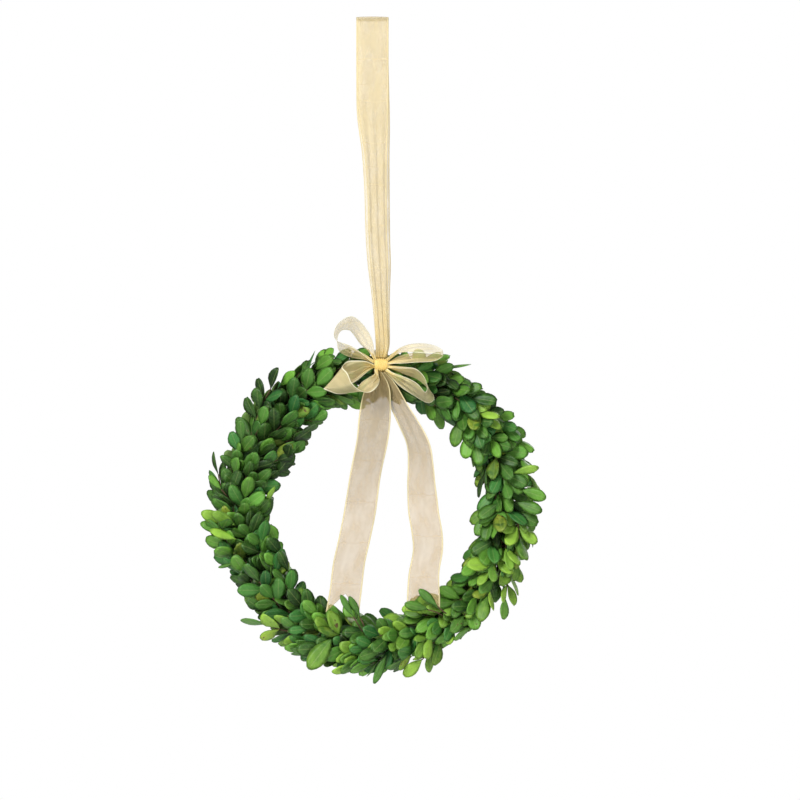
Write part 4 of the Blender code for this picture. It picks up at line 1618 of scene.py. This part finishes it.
def hanger_stations() -> tuple[tuple[float, ...], ...]:
    """Up the front leg, over the crown and down the back leg, in millimetres.

    Returns:
        Rows of x, y, z and half the width.
    """
    heights, halves = zip(*LEGS_APART)
    foot, shoulder = HANGER_LEG[0][0], HANGER_LEG[-1][0]
    front, back = [], []
    for z, x, width in HANGER_LEG:
        middle = KNOT[1] / MM * (z - shoulder) / (foot - shoulder)
        shift = LEG_SHIFT * math.sin(math.pi * (z - shoulder) / (foot - shoulder))
        apart = float(np.interp(z, heights, halves))
        front.append((x, middle - apart, z, width / 2))
        back.append((x + shift, middle + apart, z, width / 2))
    crown = []
    for turn in np.radians(np.arange(0, 181, CROWN_STEP)):
        y, z = -CROWN_RADIUS * math.cos(turn), CROWN_TOP - CROWN_RADIUS * (1 - math.sin(turn))
        crown.append((0.0, y, z, CROWN_HALF))
    return tuple(front + crown + back[::-1])


def strap_stations() -> tuple[tuple[float, ...], ...]:
    """A rounded square round the wreath's section behind the knot: the cubes of y and z, as shares of
    its half sizes, add up to 1. It starts and ends in the middle of its front.

    Returns:
        Rows of x, y, z and half the width, in millimetres.
    """
    turn = math.tau * np.arange(STRAP_STEPS + 1) / STRAP_STEPS + math.pi
    c, s = np.cos(turn), np.sin(turn)
    size = (np.abs(c) ** 3 + np.abs(s) ** 3) ** (-1 / 3)
    y = RING.centre[1] / MM + STRAP_DEEP * size * c
    z = (RING.centre[2] + RING.radius) / MM + STRAP_HIGH * size * s
    x, half = np.full(len(turn), STRAP_X / MM), np.full(len(turn), STRAP_HALF)
    return tuple(map(tuple, np.stack((x, y, z, half), -1)))


@dataclass(frozen=True)
class Knot:
    """The turn of ribbon that gathers the bow's middle: a barrel, pleated round."""

    half: tuple[float, float, float] = (4.4 * MM, 3.8 * MM, 4.9 * MM)
    pleats: float = 6.5
    pleat_height: float = 0.52 * MM
    waist: float = 0.5
    flat: tuple[float, float] = (24 * MM, 18 * MM)

    ROWS = 96
    COLUMNS = 49
    WALL = 0.2 * MM
    WAIST_POWER = 2.5
    SLACKS = (0.25, 0.2)  # how unevenly the pleats lie, once and twice round
    UNEVEN = 0.15  # share of their height by which the pleats differ
    FLATTENED = 0.65  # share of their height that the pleats lose with the barrel's own
    NARROWED, WIDENED = 0.10, 0.12  # shares of the width, in front, and above and below

    def surface(self) -> Surface:
        """A barrel round the X axis. The square of its radius falls with the distance from its middle to
        a power. A sine wave across its width makes its pleats, whose place and height change a little
        round it by sines, and so does the width.

        Returns:
            An open-ended band without a wall.
        """
        turn = math.tau * np.arange(self.ROWS)[:, None] / self.ROWS
        v = np.linspace(-1, 1, self.COLUMNS)[None, :]
        slack = self.SLACKS[0] * np.sin(turn) + self.SLACKS[1] * np.sin(2 * turn + 1)
        pleat = self.pleat_height * (1 - self.UNEVEN + self.UNEVEN * np.sin(3 * turn + 4 * v))
        pleat = pleat * np.sin(math.tau * self.pleats * v / 2 + slack * 2)
        barrel = np.sqrt(1 - self.waist * np.abs(v) ** self.WAIST_POWER)
        pleat = pleat * (1 - self.FLATTENED + self.FLATTENED * barrel)
        width = 1 - self.NARROWED * np.cos(turn) + self.WIDENED * np.sin(turn) ** 2
        x = KNOT[0] + v * self.half[0] * width
        y = KNOT[1] + (self.half[1] * barrel - self.pleat_height + pleat) * np.cos(turn)
        z = KNOT[2] + (self.half[2] * barrel - self.pleat_height + pleat) * np.sin(turn)
        points = np.stack((x + 0 * turn, y, z), -1).reshape(-1, 3)
        quads = grid_quads(self.ROWS, self.COLUMNS, rows_close=True)
        column, row = quads % self.COLUMNS, quads // self.COLUMNS
        row[:, 2:] = row[:, :1] + 1
        flat = ((column / (self.COLUMNS - 1) - 0.5) * self.flat[0], row / self.ROWS * self.flat[1])
        return Surface(points, quads, np.stack(flat, -1), np.zeros((len(quads), 3)))

    def build(self) -> bpy.types.Object:
        """The knot, a gathered sheet with a wall, which stands for its node.

        Returns:
            The piece.
        """
        piece = new_piece("bow_wrap", self.surface(), (LIT_KNOT_RIBBON,), "cloth")
        give_wall(piece, self.WALL)
        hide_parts("bow_knot")
        return piece


# The hanger's leg, from the knot up, in millimetres: height, sideways shift, width
HANGER_LEG = (
    (-253.6, 6.2, 8.0),
    (-244, 7.4, 10.0),
    (-224, 6.4, 10.8),
    (-207, 5.4, 12.2),
    (-185, 4.2, 15.2),
    (-162, 2.9, 16.0),
    (-130, 2.3, 16.6),
    (-101, 1.5, 18.8),
    (-86, 0.7, 21.5),
    (-68, 0.0, 23.6),
    (-36, 0.0, 24.0),
)
LEGS_APART = ((-253.6, 0.75), (-200, 2.4), (-40, 4.3))  # height, half the way between the two legs
LEG_SHIFT = 2.2  # how far to the right the back leg hangs, halfway down
CROWN_RADIUS = 4.3
CROWN_TOP = 0.3
CROWN_HALF = 12.0  # half its width
CROWN_STEP = 15  # degrees

# The strap: half its depth, height and width in millimetres
STRAP_DEEP, STRAP_HIGH, STRAP_HALF = 16.2, 17.5, 5.0
STRAP_STEPS = 40

# Each loop, from the knot round and back
BOW_LOOPS = {
    "bow_loop_upper_left": (
        (-3.9, 0, 3.3, 4, 0, 0),
        (-10.0, 3, 14.0, 19, 0.54, 0.10),
        (-15.5, 6, 24.8, 23, 0.52, 0.20),
        (-22, 8, 30.8, 24, 0.12, 0.45),
        (-30, 9, 27.8, 24, -0.09, 0.20),
        (-33, 8, 20.5, 24, -0.09, 0.04),
        (-30.8, 6, 13.5, 24, 0.04, 0.25),
        (-22.5, 4, 9.4, 20, 0.05, 0.40),
        (-13, 2, 6.0, 12, 0, 0.30),
        (-5.0, 0, 2.0, 3.6, 0, 0),
    ),
    "bow_loop_upper_right": (
        (4.1, 0.5, 3.2, 4, 0, 0),
        (14, 5, 10.0, 15, 0, -0.30),
        (27, 9, 12.0, 22, 0, -0.36),
        (39, 10, 11.8, 24, 0, -0.28),
        (46.2, 10, 8.6, 24, 0, -0.18),
        (40, 9, 5.6, 24, 0, -0.24),
        (27, 8, 5.4, 22, 0, -0.30),
        (14, 5, 3.0, 15, 0, -0.30),
        (5.0, 0.5, 0.6, 4, 0, 0),
    ),
    "bow_loop_lower_left": (
        (-5.1, 1.2, -0.7, 3.4, 0, 0.4),
        (-11.5, 4.5, -1.6, 10, 0, 1.4),
        (-21.5, 8, -5.8, 20, 0.10, 1.5),
        (-31, 10.5, -8.6, 24, 0.80, 1.5),
        (-35.2, 14, -10.2, 24, 1.3, 1.42),
        (-31.5, 16.5, -13, 24, 0.90, 1.0),
        (-26.4, 17.5, -17.6, 24, 0.40, 0.46),
        (-21.4, 17.2, -19.9, 24, 0.32, 0.17),
        (-15.8, 16.2, -20.2, 24, 0.30, -0.03),
        (-10.8, 14, -16.6, 23, 0.36, -0.32),
        (-5.8, 11, -12.3, 19, 0.42, -0.36),
        (-2.8, 7, -8.6, 10, 0.40, -0.40),
        (-3.6, 2.6, -3.4, 3.2, 0, 0),
    ),
    "bow_loop_lower_right": (
        (5.0, 0.5, -1.7, 4, 0, 0),
        (14, 5, -3.4, 13, 0, 0.25),
        (25.5, 11, -6.4, 22, -0.10, 0.38),
        (33, 13, -13.5, 24, -0.15, 0.40),
        (36.5, 14, -21.0, 24, -0.25, 0.36),
        (33.5, 14, -24.5, 24, -0.10, 0.36),
        (24.5, 13, -18.5, 23, 0.15, 0.36),
        (14, 9, -11.5, 16, 0.15, 0.34),
        (3.9, 2.6, -3.6, 3.2, 0, 0),
    ),
}

# Each tail, from the knot down
TAILS = {
    "tail_left": (
        (-1.7, 0.8, -5.4, 4.4, 0),
        (-2.3, 2.2, -15, 16, 0),
        (-3.4, 3.8, -25, 21.5, 5),
        (-4.6, 5.2, -40, 24, 5),
        (-6.5, 7.0, -57, 24, 10),
        (-12.3, 8.5, -87, 24, 15),
        (-15.8, 9.0, -111, 24, 5),
        (-19.5, 9.0, -129, 24, 5),
        (-23.5, 8.5, -147, 24, 5),
        (-26, 8.0, -167, 24, 0),
        (-28.5, 8.0, -184, 25, -4),
    ),
    "tail_right": (
        (2.2, -0.6, -5.2, 3.6, -50),
        (6.0, -0.4, -12, 9, -40),
        (12.5, 1.5, -28, 15, -30),
        (20.5, 3.5, -43, 19, -30),
        (27.5, 5.0, -60, 23, -40),
        (30, 6.5, -76, 24, -37),
        (30, 7.5, -91, 24, -28),
        (31.5, 8.0, -108, 24, -18),
        (34.2, 8.5, -124, 24, -16),
        (34.6, 8.5, -138, 24, -22),
        (32.0, 8.0, -157, 24, -18),
        (31.5, 8.0, -182, 25, 6),
    ),
}


@dataclass
class RibbonWork:
    """The hanger, the strap, the bow and the tails."""

    LOOP_PHASE, TAIL_PHASE = 1.7, 2.1  # what sets the folds of one apart from those of the next

    def ribbons(self) -> list[Ribbon]:
        """Every length of ribbon but the knot.

        Returns:
            The ribbons, from the hanger down.
        """
        made: list[Ribbon] = [
            Hanger("ribbon_hanger_cloth", "ribbon_hanger", hanger_stations()),
            Strap("ribbon_strap_cloth", "ribbon_strap", strap_stations(), rests_on=("twig_ring",)),
        ]
        for number, (node, stations) in enumerate(BOW_LOOPS.items()):
            made.append(BowLoop(node + "_cloth", node, stations, phase=self.LOOP_PHASE * number))
        for number, (node, stations) in enumerate(TAILS.items()):
            made.append(Tail(node + "_cloth", node, stations, phase=self.TAIL_PHASE * number))
        return made

    def build(self) -> list[BVHTree]:
        """All the ribbon.

        Returns:
            The surfaces, for what must keep clear of them.
        """
        trees = []
        for ribbon in self.ribbons():
            ribbon.build()
            surface = ribbon.surface()
            trees.append(BVHTree.FromPolygons(surface.points.tolist(), surface.quads.tolist()))
        Knot().build()
        return trees


# The studio


@dataclass(frozen=True)
class Studio:
    """A white studio: a level camera 2 m in front, a pale floor below and soft lights."""

    distance: float = 2.0
    aim: tuple[float, float] = (20.5 * MM, -285.3 * MM)  # X and Z
    view_width: float = 0.596  # of what the camera sees at the ribbon
    sensor: float = 36.0
    floor_z: float = -0.67
    floor_y: float = -0.45
    floor_radius: float = 0.98
    sky: float = 0.2

    FLOOR_SIDES = 128
    FLOOR_COLOUR, FLOOR_ROUGHNESS = "#F4F4F4", 0.9
    LIT = (0, 0, -0.34)  # what the lights point at
    LIGHTS = (  # name, place, side in metres, watts
        ("key", (-0.9, -1.6, 0.8), 0.7, 40),
        ("fill", (1.5, -1.7, -0.1), 1.0, 9),
        ("bounce", (0.2, -1.5, -1.4), 0.9, 7),
        ("back", (0.9, 1.5, 0.5), 1.0, 16),
    )
    SHEER_LAYERS = 24  # see-through surfaces, one behind the other, that a ray passes

    def camera(self) -> None:
        """A lens that takes in the view's width at the ribbon."""
        data = bpy.data.cameras.new("camera")
        data.sensor_width = self.sensor
        data.lens = self.sensor * self.distance / self.view_width
        made = new_object("camera", data)
        made.location = (self.aim[0], -self.distance, self.aim[1])
        made.rotation_euler = (math.pi / 2, 0, 0)
        bpy.context.scene.camera = made

    def light(self, name: str, place: tuple[float, float, float], size: float, energy: float) -> None:
        """One soft square light that points at the wreath.

        Args:
            name: what it is called.
            place: where it stands.
            size: its side.
            energy: its power in watts.
        """
        data = bpy.data.lights.new(name, "AREA")
        data.size, data.energy = size, energy
        made = new_object(name, data)
        made.location = place
        towards = Vector(self.LIT) - Vector(place)
        made.rotation_euler = towards.to_track_quat("-Z", "Y").to_euler()

    def floor(self) -> None:
        """A round matt white floor, below what the camera sees. Seen from underneath, it isn't there."""
        mesh = bpy.data.meshes.new("floor")
        turn = math.tau * np.arange(self.FLOOR_SIDES) / self.FLOOR_SIDES
        x, y = self.floor_radius * np.cos(turn), self.floor_y + self.floor_radius * np.sin(turn)
        points = np.stack((x, y, np.full(len(turn), self.floor_z)), -1)
        mesh.from_pydata(points.tolist(), [], [tuple(range(len(turn)))])
        made, tree, shader = start_material("painted_floor")
        below = add_node(tree, "NewGeometry").outputs["Backfacing"]
        seen = add_node(tree, "LightPath").outputs["Is Camera Ray"]
        hidden = add_node(tree, "Math", {0: below, 1: seen}, operation="MULTIPLY").outputs[0]
        solid = add_node(tree, "MapRange", {0: hidden, 3: 1.0, 4: 0.0}).outputs[0]
        colour = linear(self.FLOOR_COLOUR)
        looks = {"Base Color": colour, "Roughness": self.FLOOR_ROUGHNESS, "Alpha": solid}
        set_inputs(tree, shader, looks)
        mesh.materials.append(made)
        floor = new_object("floor", mesh)

    def world(self) -> None:
        """White behind the wreath, and dimmer as a light."""
        world = bpy.data.worlds.new("white")
        world.use_nodes = True
        tree = world.node_tree
        seen = add_node(tree, "LightPath").outputs["Is Camera Ray"]
        strength = add_node(tree, "MapRange", {0: seen, 3: self.sky, 4: 1.0}).outputs[0]
        set_inputs(tree, tree.nodes["Background"], {"Color": (1, 1, 1, 1), "Strength": strength})
        bpy.context.scene.world = world

    def build(self) -> None:
        """The whole studio."""
        self.camera()
        self.floor()
        self.world()
        for light in self.LIGHTS:
            self.light(*light)
        bpy.context.scene.view_settings.view_transform = "Standard"
        bpy.context.scene.cycles.transparent_max_bounces = self.SHEER_LAYERS


def main() -> None:
    """Builds the wreath piece by piece."""
    logging.basicConfig(level=logging.INFO, format="%(message)s")
    Studio().build()
    core = RingCore()
    core.build_ring()
    ribbons = RibbonWork().build()
    foliage = Foliage(ribbons=ribbons)
    core.build_wire([foliage.spray_twig(index) for index in range(foliage.SPRAYS)])
    foliage.build_sprays()
    for stray in STRAYS:
        foliage.crowd.add(*LEAF.sketch(stray.shape()))
    foliage.build_fillers()
    build_strays()


if __name__ == "__main__":
    main()
